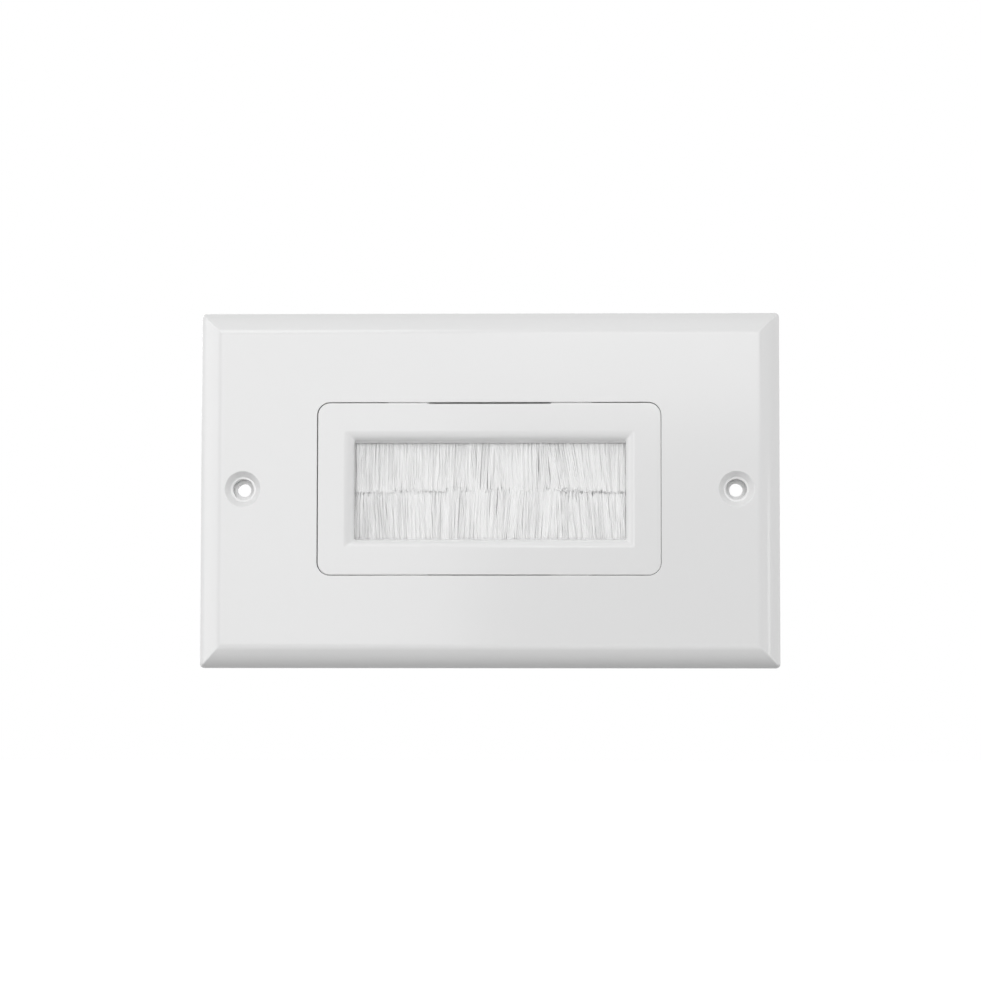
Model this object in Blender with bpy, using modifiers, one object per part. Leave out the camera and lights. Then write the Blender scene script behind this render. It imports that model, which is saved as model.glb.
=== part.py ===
# Brush wall plate: a single-gang cover plate with a cable pass-through insert.
#
# Metres. The plate hangs on a wall in its own frame: +X to the right, +Z up and +Y into the wall.
# The wall is the plane y = 0 and the origin is at the middle of the plate on that plane, so the
# room is at negative y. A height here is a distance from the wall towards the room, and it is
# negative inside the wall box.

import math
import random

import bmesh
import bpy
from mathutils import Matrix, Vector

# Cover plate
PLATE_WIDTH = 0.1140
PLATE_HEIGHT = 0.0700
PLATE_DEPTH = 0.0060
PLATE_EDGE = 0.0020
BEVEL_WIDTH = 0.0040
BEVEL_BULGE = math.radians(34)
FACE_BLEND_RADIUS = 0.0026
PLATE_CORNER_RADIUS = 0.0008
MITRE_RADIUS = 0.0002
CAVITY_CORNER_RADIUS = 0.0006
FACE_WALL = 0.0022
RIM_WALL = 0.0020
RIB_WALL = 0.0012
RIB_SETBACK = 0.0003
LONG_RIB_PITCH = 0.0180
END_RIB_PITCH = 0.0130

# Plate screws
PLATE_SCREW_INSET = 0.0086
COUNTERSINK_DIAMETER = 0.0069
COUNTERSINK_FLOOR = 0.0049
COUNTERSINK_DEPTH = 0.0010
PLATE_SCREW_BORE = 0.0041
PLATE_BOSS_WALL = 0.0019

# Insert
INSERT_SCREW_CLEARANCE = 0.0081
INSERT_HEIGHT = 0.0334
INSERT_CORNER_RADIUS = 0.0024
INSERT_EDGE_RADIUS = 0.0003
INSERT_PROUD = 0.00015
INSERT_FRONT_WALL = 0.00235
INSERT_SIDE_WALL = 0.0014
SEAM_GAP = 0.00028
WINDOW_MARGIN_X = 0.00655
WINDOW_MARGIN_Z = 0.0067
WINDOW_CORNER_RADIUS = 0.0003
FUNNEL_RADIUS = 0.00215
FUNNEL_TURN = math.radians(48)

# Mounting strap, moulded with the insert
STRAP_END_REACH = 0.0040
STRAP_LEDGE = 0.0023
STRAP_THICKNESS = 0.0016
STRAP_CORNER_RADIUS = 0.0030
STRAP_RELIEF = 0.0002
TONGUE_WIDTH = 0.0240
NOTCH_WIDTH = 0.0080
BARB_REACH = 0.00035
PLATE_SCREW_PILOT = 0.0026
BOX_SCREW_OFFSET = 0.00675
BOX_SLOT_WIDTH = 0.0042
BOX_SLOT_LENGTH = 0.0080
GUSSET_REACH = 0.0035
GUSSET_SPACING = 0.0200

# Brush strips
CHANNEL_THICKNESS = 0.0034
CHANNEL_WALL = 0.0004
CHANNEL_FOLD_RADIUS = 0.0006
CHANNEL_SETBACK = 0.0005
WIRE_DIAMETER = 0.0007
TUFTS = 84
TUFT_GAP = 0.00015
TUFT_TAPER = 0.72
TUFT_LEAN = 0.0007
TUFT_RAGGEDNESS = 0.0005
FRONT_TIPS_MEET = -0.0009
REAR_TIPS_MEET = 0.0003

# Rear retainer and its screws
RETAINER_THICKNESS = 0.0020
RETAINER_RIB_HEIGHT = 0.0009
SCREW_SHANK = 0.0018
SCREW_HEAD = 0.0030
SCREW_HEAD_HEIGHT = 0.0013
SCREW_LENGTH = 0.0050
SCREW_POINT = 0.0012
RECESS_SPAN = 0.0018
RECESS_WIDTH = 0.0004
RECESS_DEPTH = 0.0007
SKIRT_MARGIN = 0.0005

# Clearance between pieces, overrun of a cutter, and how far joined shapes run into each other
FIT_GAP = 0.0003
OVERCUT = 0.0010
BITE = 0.0004

# Colours
WHITE_PLASTIC = (0.86, 0.86, 0.85, 1.0)
WHITE_NYLON = (0.88, 0.88, 0.87, 1.0)
ZINC = (0.70, 0.71, 0.72, 1.0)

# Heights above the wall
strap_back = STRAP_RELIEF
strap_front = strap_back + STRAP_THICKNESS
strap_seat = strap_front + FIT_GAP
cavity_floor = PLATE_DEPTH - FACE_WALL
insert_face = PLATE_DEPTH + INSERT_PROUD
chamber_floor = insert_face - INSERT_FRONT_WALL
channel_front = chamber_floor - FIT_GAP
channel_back = channel_front - CHANNEL_THICKNESS
brush_height = (channel_front + channel_back) / 2
retainer_front = channel_back - FIT_GAP
retainer_back = retainer_front - RETAINER_THICKNESS
boss_foot = retainer_front + FIT_GAP
screw_seat = retainer_back - FIT_GAP
screw_top = screw_seat - SCREW_HEAD_HEIGHT
skirt_back = screw_top - SKIRT_MARGIN

# Half sizes and places in the plane of the wall
plate_screw_x = PLATE_WIDTH / 2 - PLATE_SCREW_INSET
box_screw_x = plate_screw_x - BOX_SCREW_OFFSET
insert_half_x = box_screw_x - INSERT_SCREW_CLEARANCE
insert_half_z = INSERT_HEIGHT / 2
strap_half_x = plate_screw_x + STRAP_END_REACH
strap_half_z = insert_half_z + STRAP_LEDGE
opening_half_x = insert_half_x + SEAM_GAP
opening_half_z = insert_half_z + SEAM_GAP
opening_radius = INSERT_CORNER_RADIUS + SEAM_GAP
collar_half_x = opening_half_x + RIB_WALL
collar_half_z = opening_half_z + RIB_WALL
cavity_inset = max(BEVEL_WIDTH + (math.sqrt(2) - 1) * FACE_WALL, RIM_WALL + OVERCUT)
catch_z = strap_half_z + FIT_GAP
chamber_half_x = insert_half_x - INSERT_SIDE_WALL
chamber_half_z = insert_half_z - INSERT_SIDE_WALL
chamber_radius = INSERT_CORNER_RADIUS / 3
window_half_x = insert_half_x - WINDOW_MARGIN_X
window_half_z = insert_half_z - WINDOW_MARGIN_Z
boss_radius = SCREW_HEAD / 2 + FIT_GAP + BITE / 2
boss_x = chamber_half_x - SCREW_HEAD / 2 - FIT_GAP
boss_z = chamber_half_z - SCREW_HEAD / 2 - FIT_GAP
screw_places = [(side_x * boss_x, side_z * boss_z) for side_x in (1, -1) for side_z in (1, -1)]
channel_half_x = boss_x - boss_radius - FIT_GAP
channel_top = chamber_half_z - FIT_GAP
channel_mouth = window_half_z + CHANNEL_SETBACK
root_top = channel_top - CHANNEL_WALL - FIT_GAP
wire_z = root_top - 2 * FIT_GAP - WIRE_DIAMETER / 2
tuft_half_x = window_half_x + FIT_GAP / 2
seat_rib_x = tuft_half_x + FIT_GAP

# Local XY of a flat outline becomes world XZ, and local Z the height above the wall
FACING_ROOM = Matrix.Rotation(math.radians(90), 4, "X")
# Local X becomes the height above the wall, local Y world Z, and local Z world X
ALONG_STRIP = Matrix(((0, 0, 1, 0), (-1, 0, 0, 0), (0, 1, 0, 0), (0, 0, 0, 1)))
# Local X becomes world X, local Y the height above the wall, and local Z world -Z
ACROSS_STRAP = Matrix(((1, 0, 0, 0), (0, -1, 0, 0), (0, 0, -1, 0), (0, 0, 0, 1)))


def remove_everything():
    for item in list(bpy.data.objects):
        bpy.data.objects.remove(item, do_unlink=True)


def new_collection(name):
    collection = bpy.data.collections.new(name)
    bpy.context.scene.collection.children.link(collection)
    return collection


def new_material(name, colour, roughness, metallic=0.0):
    material = bpy.data.materials.new(name)
    material.use_nodes = True
    shader = material.node_tree.nodes["Principled BSDF"]
    shader.inputs["Base Color"].default_value = colour
    shader.inputs["Roughness"].default_value = roughness
    shader.inputs["Metallic"].default_value = metallic
    return material


remove_everything()
parts = new_collection("brush_wall_plate")
cutters = new_collection("cutters")
plate_plastic = new_material("plate_plastic", WHITE_PLASTIC, 0.28)
insert_plastic = new_material("insert_plastic", WHITE_PLASTIC, 0.32)
retainer_plastic = new_material("retainer_plastic", WHITE_PLASTIC, 0.45)
nylon = new_material("nylon_filament", WHITE_NYLON, 0.50)
zinc_steel = new_material("zinc_steel", ZINC, 0.35, 1.0)
planned_booleans = []


# Modelling helpers


def as_cutter(item):
    """Moves an object to the cutters, where it is a guide and not a part."""
    for owner in list(item.users_collection):
        owner.objects.unlink(item)
    cutters.objects.link(item)
    item.hide_render = True
    item.display_type = "WIRE"
    return item


def add_mesh_object(name, mesh, material=None):
    """A part when it has a material, and otherwise a cutter."""
    item = bpy.data.objects.new(name, mesh)
    if not material:
        return as_cutter(item)
    mesh.materials.append(material)
    parts.objects.link(item)
    return item


def mesh_from_bmesh(bm, name):
    bmesh.ops.recalc_face_normals(bm, faces=bm.faces)
    mesh = bpy.data.meshes.new(name)
    bm.to_mesh(mesh)
    bm.free()
    return mesh


def rounded_outline(half_x, half_z, radius, steps):
    """Points of a rectangle with round corners, four arcs anticlockwise from +X."""
    points = []
    for quarter, (side_x, side_z) in enumerate(((1, 1), (-1, 1), (-1, -1), (1, -1))):
        for step in range(steps + 1):
            angle = math.radians(90) * (quarter + step / steps)
            x = side_x * (half_x - radius) + radius * math.cos(angle)
            z = side_z * (half_z - radius) + radius * math.sin(angle)
            points.append((x, z))
    return points


def loft(name, sections, material=None):
    """A closed body through outlines of equal length, each (height above the wall, points)."""
    bm = bmesh.new()
    rings = [[bm.verts.new((x, -height, z)) for x, z in outline] for height, outline in sections]
    count = len(rings[0])
    for lower, upper in zip(rings, rings[1:]):
        for index in range(count):
            after = (index + 1) % count
            bm.faces.new((lower[index], lower[after], upper[after], upper[index]))
    bm.faces.new(rings[0])
    bm.faces.new(rings[-1])
    return add_mesh_object(name, mesh_from_bmesh(bm, name), material)


def mesh_from_curve(item):
    """The mesh of a curve object in world space, with its loose caps welded; the curve goes."""
    bpy.context.view_layer.update()
    evaluated = item.evaluated_get(bpy.context.evaluated_depsgraph_get())
    mesh = bpy.data.meshes.new_from_object(evaluated)
    mesh.transform(item.matrix_world)
    bpy.data.objects.remove(item, do_unlink=True)
    bm = bmesh.new()
    bm.from_mesh(mesh)
    bmesh.ops.remove_doubles(bm, verts=bm.verts, dist=0.000001)
    bmesh.ops.recalc_face_normals(bm, faces=bm.faces)
    bm.to_mesh(mesh)
    bm.free()
    return mesh


def flat_prism(name, outlines, start, end, turn, material=None):
    """A flat outline, with its holes, extruded from start to end along the local Z of turn."""
    curve = bpy.data.curves.new(name, "CURVE")
    curve.dimensions = "2D"
    curve.fill_mode = "BOTH"
    curve.extrude = (end - start) / 2
    for outline in outlines:
        spline = curve.splines.new("POLY")
        spline.points.add(len(outline) - 1)
        for point, (u, v) in zip(spline.points, outline):
            point.co = (u, v, 0, 1)
        spline.use_cyclic_u = True
    item = bpy.data.objects.new(name, curve)
    bpy.context.scene.collection.objects.link(item)
    item.matrix_world = turn @ Matrix.Translation((0, 0, (start + end) / 2))
    return add_mesh_object(name, mesh_from_curve(item), material)


def block(name, x_range, height_range, z_range):
    """A box cutter between two values on each axis."""
    size = [abs(high - low) for low, high in (x_range, height_range, z_range)]
    middle = (sum(x_range) / 2, -sum(height_range) / 2, sum(z_range) / 2)
    bpy.ops.mesh.primitive_cube_add(size=1, location=middle)
    item = bpy.context.active_object
    item.name = name
    item.scale = size
    return as_cutter(item)


def turned(name, profile, place, steps, material=None):
    """A body turned about the line through place (x, z); profile is (radius, height), top first."""
    mesh = bpy.data.meshes.new(name)
    points = [(radius, 0, height) for radius, height in profile]
    edges = [(index, index + 1) for index in range(len(points) - 1)]
    mesh.from_pydata(points, edges, [])
    item = add_mesh_object(name, mesh, material)
    item.location = (place[0], 0, place[1])
    item.rotation_euler = (math.radians(90), 0, 0)
    screw = item.modifiers.new("turn", "SCREW")
    screw.axis = "Z"
    screw.steps = steps
    screw.render_steps = steps
    screw.use_merge_vertices = True
    screw.merge_threshold = 0.000001
    return item


def post(name, place, diameter, top, bottom, steps=24):
    """A round cutter between two heights."""
    radius = diameter / 2
    return turned(name, [(0, top), (radius, top), (radius, bottom), (0, bottom)], place, steps)


def cut(target, *tools):
    planned_booleans.append((target, "DIFFERENCE", tools))


def join(target, *tools):
    planned_booleans.append((target, "UNION", tools))


def add_planned_booleans():
    """One Boolean for each planned group of tools, once every shape has been drawn."""
    for target, operation, tools in planned_booleans:
        group = bpy.data.collections.new(target.name + "_" + tools[0].name)
        cutters.children.link(group)
        for tool in tools:
            group.objects.link(tool)
        step = target.modifiers.new(tools[0].name, "BOOLEAN")
        step.operation = operation
        step.solver = "EXACT"
        step.operand_type = "COLLECTION"
        step.collection = group


# Cover plate


def bevel_arc(width, drop, bulge, steps):
    """(inset, rise) along a convex arc that turns through the angle bulge; the edge comes first."""
    steepest = math.atan2(drop, width) + bulge / 2
    radius = math.hypot(width, drop) / 2 / math.sin(bulge / 2)
    points = []
    for step in range(steps + 1):
        slope = steepest - bulge * step / steps
        inset = radius * (math.sin(steepest) - math.sin(slope))
        rise = radius * (math.cos(slope) - math.cos(steepest))
        points.append((inset, rise))
    return points


def bevel_end_slope():
    """The slope at which the bevel's arc and its blend into the face are tangent."""
    slope = 0.0
    for _ in range(30):
        reach = FACE_BLEND_RADIUS * math.tan(slope / 2)
        width = BEVEL_WIDTH - reach * math.cos(slope)
        drop = PLATE_DEPTH - PLATE_EDGE - reach * math.sin(slope)
        slope = math.atan2(drop, width) - BEVEL_BULGE / 2
    return slope


def bevel_levels():
    """(height, inset) up the convex bevel, then round its softer blend into the face."""
    end_slope = bevel_end_slope()
    reach = FACE_BLEND_RADIUS * math.tan(end_slope / 2)
    width = BEVEL_WIDTH - reach * math.cos(end_slope)
    drop = PLATE_DEPTH - PLATE_EDGE - reach * math.sin(end_slope)
    levels = [(PLATE_EDGE + rise, inset) for inset, rise in bevel_arc(width, drop, BEVEL_BULGE, 7)]
    for share in (0.75, 0.5, 0.25, 0.0):
        slope = end_slope * share
        inset = BEVEL_WIDTH + reach - FACE_BLEND_RADIUS * math.sin(slope)
        levels.append((PLATE_DEPTH - FACE_BLEND_RADIUS * (1 - math.cos(slope)), inset))
    return levels


def plate_skin():
    """The outer form: upright edges, then the bevel with mitred corners up to the face."""
    sections = []
    for height, inset in [(0.0, 0.0)] + bevel_levels():
        radius = max(PLATE_CORNER_RADIUS - inset, MITRE_RADIUS)
        outline = rounded_outline(PLATE_WIDTH / 2 - inset, PLATE_HEIGHT / 2 - inset, radius, 3)
        sections.append((height, outline))
    return loft("wall_plate", sections, plate_plastic)


def plate_cavity():
    """The hollow of the moulded shell, which follows the bevel."""
    slope_foot = max(cavity_floor - (cavity_inset - RIM_WALL), PLATE_EDGE / 4)
    sections = []
    for height, inset in ((-OVERCUT, RIM_WALL), (slope_foot, RIM_WALL), (cavity_floor, cavity_inset)):
        half_x = PLATE_WIDTH / 2 - inset
        half_z = PLATE_HEIGHT / 2 - inset
        sections.append((height, rounded_outline(half_x, half_z, CAVITY_CORNER_RADIUS, 3)))
    return loft("plate_cavity", sections)


def rib_places(start, pitch, limit):
    """Places from start at a pitch while they stay inside the limit, and their mirror images."""
    count = int((limit - start) / pitch) + 1
    places = [start + pitch * index for index in range(count)]
    return places + [-place for place in places if place > 0]


def plate_ribs():
    """The collar round the opening and the stiffening ribs, where the cavity is not cut."""
    top = PLATE_DEPTH + OVERCUT
    heights = (strap_seat + RIB_SETBACK, top)
    half_wall = RIB_WALL / 2
    long_ribs = rib_places(TONGUE_WIDTH / 2, LONG_RIB_PITCH, PLATE_WIDTH / 2 - cavity_inset)
    end_ribs = rib_places(0.0, END_RIB_PITCH, PLATE_HEIGHT / 2 - cavity_inset)
    outline = rounded_outline(collar_half_x, collar_half_z, opening_radius + RIB_WALL, 6)
    kept = [flat_prism("collar", [outline], strap_seat, top, FACING_ROOM)]
    for side in (1, -1):
        near = side * (collar_half_z - BITE)
        far = side * PLATE_HEIGHT / 2
        for x in long_ribs:
            kept.append(block("long_rib", (x - half_wall, x + half_wall), heights, (near, far)))
        far = side * PLATE_WIDTH / 2
        for z in end_ribs:
            beside_collar = abs(z) < collar_half_z
            near = collar_half_x - BITE if beside_collar else TONGUE_WIDTH / 2 + LONG_RIB_PITCH
            kept.append(block("end_rib", (side * near, far), heights, (z - half_wall, z + half_wall)))
    return kept


def plate_screw_bosses():
    diameter = PLATE_SCREW_BORE + 2 * PLATE_BOSS_WALL
    top = PLATE_DEPTH + OVERCUT
    places = [(side * plate_screw_x, 0) for side in (1, -1)]
    return [post("plate_screw_boss", place, diameter, top, strap_seat, 32) for place in places]


def barb_section(gap):
    """(distance past the tongue's edge, height) of the barb, or of its groove when gap isn't zero."""
    middle = strap_front - STRAP_THICKNESS / 3
    half = BARB_REACH + gap / 2
    return [(0, middle + half), (BARB_REACH, middle), (0, middle - half)]


def catch_ribs():
    """The plate's two long catch ribs, each grooved for the barb of the insert's tongue."""
    top = PLATE_DEPTH + OVERCUT
    groove = [(catch_z + reach, height) for reach, height in barb_section(FIT_GAP)]
    far = catch_z + RIB_WALL
    section = [(catch_z, top)] + groove + [(catch_z, strap_back), (far, strap_back), (far, top)]
    half_length = TONGUE_WIDTH / 2 - RIB_WALL
    ribs = []
    for side in (1, -1):
        outline = [(height, side * z) for z, height in section]
        ribs.append(flat_prism("catch_rib", [outline], -half_length, half_length, ALONG_STRIP))
    return ribs


def plate_opening():
    outline = rounded_outline(opening_half_x, opening_half_z, opening_radius, 6)
    return flat_prism("plate_opening", [outline], strap_seat - OVERCUT, PLATE_DEPTH + OVERCUT, FACING_ROOM)


def countersunk_hole(side):
    """A countersink, a flat floor for the head's rim, and the bore through the boss."""
    floor = PLATE_DEPTH - COUNTERSINK_DEPTH
    bottom = strap_seat - OVERCUT
    profile = [
        (0, PLATE_DEPTH + OVERCUT),
        (COUNTERSINK_DIAMETER / 2, PLATE_DEPTH + OVERCUT),
        (COUNTERSINK_DIAMETER / 2, PLATE_DEPTH),
        (COUNTERSINK_FLOOR / 2, floor),
        (PLATE_SCREW_BORE / 2, floor),
        (PLATE_SCREW_BORE / 2, bottom),
        (0, bottom),
    ]
    return turned("countersunk_hole", profile, (side * plate_screw_x, 0), 36)


def build_wall_plate():
    plate = plate_skin()
    cavity = plate_cavity()
    cut(cavity, *plate_ribs(), *plate_screw_bosses(), *catch_ribs())
    cut(plate, cavity, plate_opening(), countersunk_hole(1), countersunk_hole(-1))


# Insert with its mounting strap


def insert_block():
    """The block that fills the opening, from the back of its skirt to a softly rounded face."""
    levels = [(skirt_back, 0.0)]
    for degrees in (0, 30, 60, 90):
        angle = math.radians(degrees)
        inset = INSERT_EDGE_RADIUS * (1 - math.cos(angle))
        levels.append((insert_face - INSERT_EDGE_RADIUS * (1 - math.sin(angle)), inset))
    sections = []
    for height, inset in levels:
        half_x = insert_half_x - inset
        half_z = insert_half_z - inset
        sections.append((height, rounded_outline(half_x, half_z, INSERT_CORNER_RADIUS - inset, 6)))
    return loft("insert_body", sections, insert_plastic)


def strap_outline():
    """The strap: a rounded rectangle with two relief notches in each long edge."""
    notch_root = insert_half_z - BITE
    near = TONGUE_WIDTH / 2
    far = near + NOTCH_WIDTH
    corners = rounded_outline(strap_half_x, strap_half_z, STRAP_CORNER_RADIUS, 4)
    quarter = len(corners) // 4
    notch = [(far, strap_half_z), (far, notch_root), (near, notch_root), (near, strap_half_z)]
    top = notch + [(-x, z) for x, z in reversed(notch)]
    bottom = [(-x, -z) for x, z in top]
    return corners[:quarter] + top + corners[quarter:3 * quarter] + bottom + corners[3 * quarter:]


def tongue_barbs():
    """The barb along the edge of each snap tongue, run a little into the tongue."""
    upper, tip, lower = barb_section(0.0)
    section = [(-BITE, upper[1] + BITE), tip, (-BITE, lower[1] - BITE)]
    half_length = TONGUE_WIDTH / 2 - 2 * RIB_WALL
    barbs = []
    for side in (1, -1):
        outline = [(height, side * (strap_half_z + reach)) for reach, height in section]
        barbs.append(flat_prism("tongue_barb", [outline], -half_length, half_length, ALONG_STRIP))
    return barbs


def end_gussets():
    """Four triangular gussets between the strap and the ends of the insert's skirt."""
    near = insert_half_x - BITE
    far = insert_half_x + GUSSET_REACH
    gussets = []
    for side_x in (1, -1):
        outline = [
            (side_x * near, strap_back + BITE),
            (side_x * far, strap_back + BITE),
            (side_x * far, strap_back - BITE),
            (side_x * near, skirt_back + BITE),
        ]
        for side_z in (1, -1):
            start = side_z * GUSSET_SPACING / 2 - RIB_WALL / 2
            gussets.append(flat_prism("gusset", [outline], start, start + RIB_WALL, ACROSS_STRAP))
    return gussets


def insert_chamber():
    outline = rounded_outline(chamber_half_x, chamber_half_z, chamber_radius, 3)
    return flat_prism("insert_chamber", [outline], skirt_back - OVERCUT, chamber_floor, FACING_ROOM)


def retainer_bosses():
    """Corner bosses for the retainer's screws, run into the walls and the front."""
    top = chamber_floor + BITE
    return [post("retainer_boss", place, 2 * boss_radius, top, boss_foot) for place in screw_places]


def strip_seats():
    """Ribs in the corners that stop each brush strip from sliding towards the window."""
    outer = channel_mouth - FIT_GAP
    heights = (boss_foot, chamber_floor + BITE)
    seats = []
    for side_x in (1, -1):
        for side_z in (1, -1):
            x_range = (side_x * seat_rib_x, side_x * (chamber_half_x + BITE))
            z_range = (side_z * outer, side_z * (outer - 2 * RIB_WALL))
            seats.append(block("strip_seat", x_range, heights, z_range))
    return seats


def funnel():
    """The window: a shallow rounded entry that ends in straight walls, with mitred corners."""
    width = FUNNEL_RADIUS * math.sin(FUNNEL_TURN)
    levels = [(insert_face + OVERCUT, width)]
    for step in range(7):
        angle = FUNNEL_TURN * step / 6
        levels.append((insert_face - FUNNEL_RADIUS * (1 - math.cos(angle)),
                       width - FUNNEL_RADIUS * math.sin(angle)))
    levels.append((chamber_floor - OVERCUT, 0.0))
    sections = []
    for height, spread in levels:
        half_x = window_half_x + spread
        half_z = window_half_z + spread
        sections.append((height, rounded_outline(half_x, half_z, WINDOW_CORNER_RADIUS, 2)))
    return loft("funnel", sections)


def strap_holes():
    """Pilot holes for the plate screws, and cross slots that let the box screws shift."""
    top = strap_front + OVERCUT
    bottom = strap_back - OVERCUT
    slot = rounded_outline(BOX_SLOT_WIDTH / 2, BOX_SLOT_LENGTH / 2, BOX_SLOT_WIDTH / 2.01, 6)
    holes = []
    for side in (1, -1):
        place = (side * plate_screw_x, 0)
        outline = [(x + side * box_screw_x, z) for x, z in slot]
        holes.append(post("plate_screw_pilot", place, PLATE_SCREW_PILOT, top, bottom))
        holes.append(flat_prism("box_screw_slot", [outline], bottom, top, FACING_ROOM))
    return holes


def screw_holes(name, top, bottom):
    """A clear hole for each of the retainer's screws."""
    return [post(name, place, SCREW_SHANK + 2 * FIT_GAP, top, bottom) for place in screw_places]


def build_insert_body():
    body = insert_block()
    strap = flat_prism("strap", [strap_outline()], strap_back, strap_front, FACING_ROOM)
    join(body, strap, *tongue_barbs(), *end_gussets())
    cut(body, insert_chamber())
    join(body, *retainer_bosses(), *strip_seats())
    pilots = screw_holes("retainer_pilot", screw_seat + SCREW_LENGTH + FIT_GAP, boss_foot - OVERCUT)
    cut(body, funnel(), *strap_holes(), *pilots)


# Brush strips


def channel_section():
    """The folded channel as (height above the wall, z), open towards the middle of the window."""
    low = channel_back
    high = channel_front
    fold = CHANNEL_FOLD_RADIUS
    half_fold = fold * (1 - math.cos(math.radians(45)))
    base = channel_top
    outside = [(high, channel_mouth), (high, base - fold), (high - half_fold, base - half_fold)]
    outside += [(high - fold, base), (low + fold, base), (low + half_fold, base - half_fold)]
    outside += [(low, base - fold), (low, channel_mouth)]
    inside_low = low + CHANNEL_WALL
    inside_high = high - CHANNEL_WALL
    inside_base = base - CHANNEL_WALL
    inside = [(inside_low, channel_mouth), (inside_low, inside_base)]
    inside += [(inside_high, inside_base), (inside_high, channel_mouth)]
    return outside + inside


def core_wire(name, facing):
    curve = bpy.data.curves.new(name, "CURVE")
    curve.dimensions = "3D"
    curve.bevel_depth = WIRE_DIAMETER / 2
    curve.bevel_resolution = 2
    curve.use_fill_caps = True
    spline = curve.splines.new("POLY")
    spline.points.add(1)
    for point, x in zip(spline.points, (-channel_half_x, channel_half_x)):
        point.co = (x, -brush_height, -facing * wire_z, 1)
    curve.materials.append(zinc_steel)
    parts.objects.link(bpy.data.objects.new(name, curve))


def wire_tunnel(name, facing):
    """The way through a comb's folded root that its core wire leaves."""
    bpy.ops.mesh.primitive_cylinder_add(
        vertices=12,
        radius=WIRE_DIAMETER / 2 + FIT_GAP,
        depth=2 * (tuft_half_x + OVERCUT),
        location=(0, -brush_height, -facing * wire_z),
        rotation=(0, math.radians(90), 0))
    item = bpy.context.active_object
    item.name = name
    return as_cutter(item)


def comb_root(bm):
    """The folded root as a bar, with its inner side divided into two rows of tuft faces."""
    thickness = CHANNEL_THICKNESS - 2 * (CHANNEL_WALL + FIT_GAP)
    size = Matrix.Diagonal((tuft_half_x, thickness / 2, 1, 1))
    place = Matrix.Translation((0, -brush_height, -channel_mouth))
    bmesh.ops.create_grid(bm, x_segments=TUFTS, y_segments=2, size=1, matrix=place @ size)
    tuft_faces = list(bm.faces)
    back = bmesh.ops.extrude_face_region(bm, geom=tuft_faces, use_keep_orig=True)["geom"]
    back_verts = [item for item in back if isinstance(item, bmesh.types.BMVert)]
    back_faces = [item for item in back if isinstance(item, bmesh.types.BMFace)]
    bmesh.ops.translate(bm, verts=back_verts, vec=(0, 0, channel_mouth - root_top))
    bmesh.ops.dissolve_faces(bm, faces=back_faces)
    return tuft_faces


def bristle_comb(name, facing, seed):
    """One row of ragged, leaning tufts on a folded root that wraps its wire.

    The comb is drawn with its tips towards +Z, and turned over when facing is -1. The two layers
    of a row stop at different heights, so that the rows lap past each other where they meet.
    """
    dice = random.Random(seed)
    bm = bmesh.new()
    tuft_faces = comb_root(bm)
    bmesh.ops.inset_individual(bm, faces=tuft_faces, thickness=TUFT_GAP / 2, use_even_offset=True)
    for face in bmesh.ops.extrude_discrete_faces(bm, faces=tuft_faces)["faces"]:
        middle = face.calc_center_median()
        meet = FRONT_TIPS_MEET if middle.y < -brush_height else REAR_TIPS_MEET
        tip_z = facing * meet - FIT_GAP / 2 - dice.uniform(0, TUFT_RAGGEDNESS)
        lean = -facing * TUFT_LEAN * middle.x / tuft_half_x
        tip = Vector((middle.x + lean, middle.y, tip_z))
        for vert in face.verts:
            offset = (vert.co - middle) * TUFT_TAPER
            vert.co = tip + offset
    comb = add_mesh_object(name, mesh_from_bmesh(bm, name), nylon)
    if facing < 0:
        comb.rotation_euler = (0, math.radians(180), 0)
    cut(comb, wire_tunnel(name + "_tunnel", facing))


def build_brush_strip(prefix, facing, seed):
    """Channel, core wire and bristles of one strip; facing is 1 when its tips point up."""
    outline = [(height, -facing * z) for height, z in channel_section()]
    flat_prism(prefix + "_brush_channel", [outline], -channel_half_x, channel_half_x, ALONG_STRIP,
               zinc_steel)
    core_wire(prefix + "_core_wire", facing)
    bristle_comb(prefix + "_bristles", facing, seed)


# Rear retainer


def build_rear_retainer():
    """Clamp frame behind the strips, with a stiffening rib along each long rail."""
    half_x = chamber_half_x - FIT_GAP
    half_z = chamber_half_z - FIT_GAP
    outer = rounded_outline(half_x, half_z, chamber_radius, 3)
    inner = rounded_outline(seat_rib_x, channel_mouth + FIT_GAP, RIB_WALL / 2, 3)
    frame = flat_prism("rear_retainer", [outer, inner], retainer_back, retainer_front, FACING_ROOM,
                       retainer_plastic)
    rib_end = boss_x - SCREW_HEAD
    heights = (retainer_back - RETAINER_RIB_HEIGHT, retainer_back + BITE)
    ribs = []
    for side in (1, -1):
        z_range = (side * (channel_top - RIB_WALL), side * (channel_top - 2 * RIB_WALL))
        ribs.append(block("rail_rib", (-rib_end, rib_end), heights, z_range))
    join(frame, *ribs)
    cut(frame, *screw_holes("retainer_hole", retainer_front + OVERCUT, retainer_back - OVERCUT))


def cross_recess(place):
    """Two crossed slots in the head of the screw at place."""
    heights = (screw_top - OVERCUT, screw_top + RECESS_DEPTH)
    slots = []
    for half_x, half_z in ((RECESS_SPAN / 2, RECESS_WIDTH / 2), (RECESS_WIDTH / 2, RECESS_SPAN / 2)):
        x_range = (place[0] - half_x, place[0] + half_x)
        z_range = (place[1] - half_z, place[1] + half_z)
        slots.append(block("recess", x_range, heights, z_range))
    return slots


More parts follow.
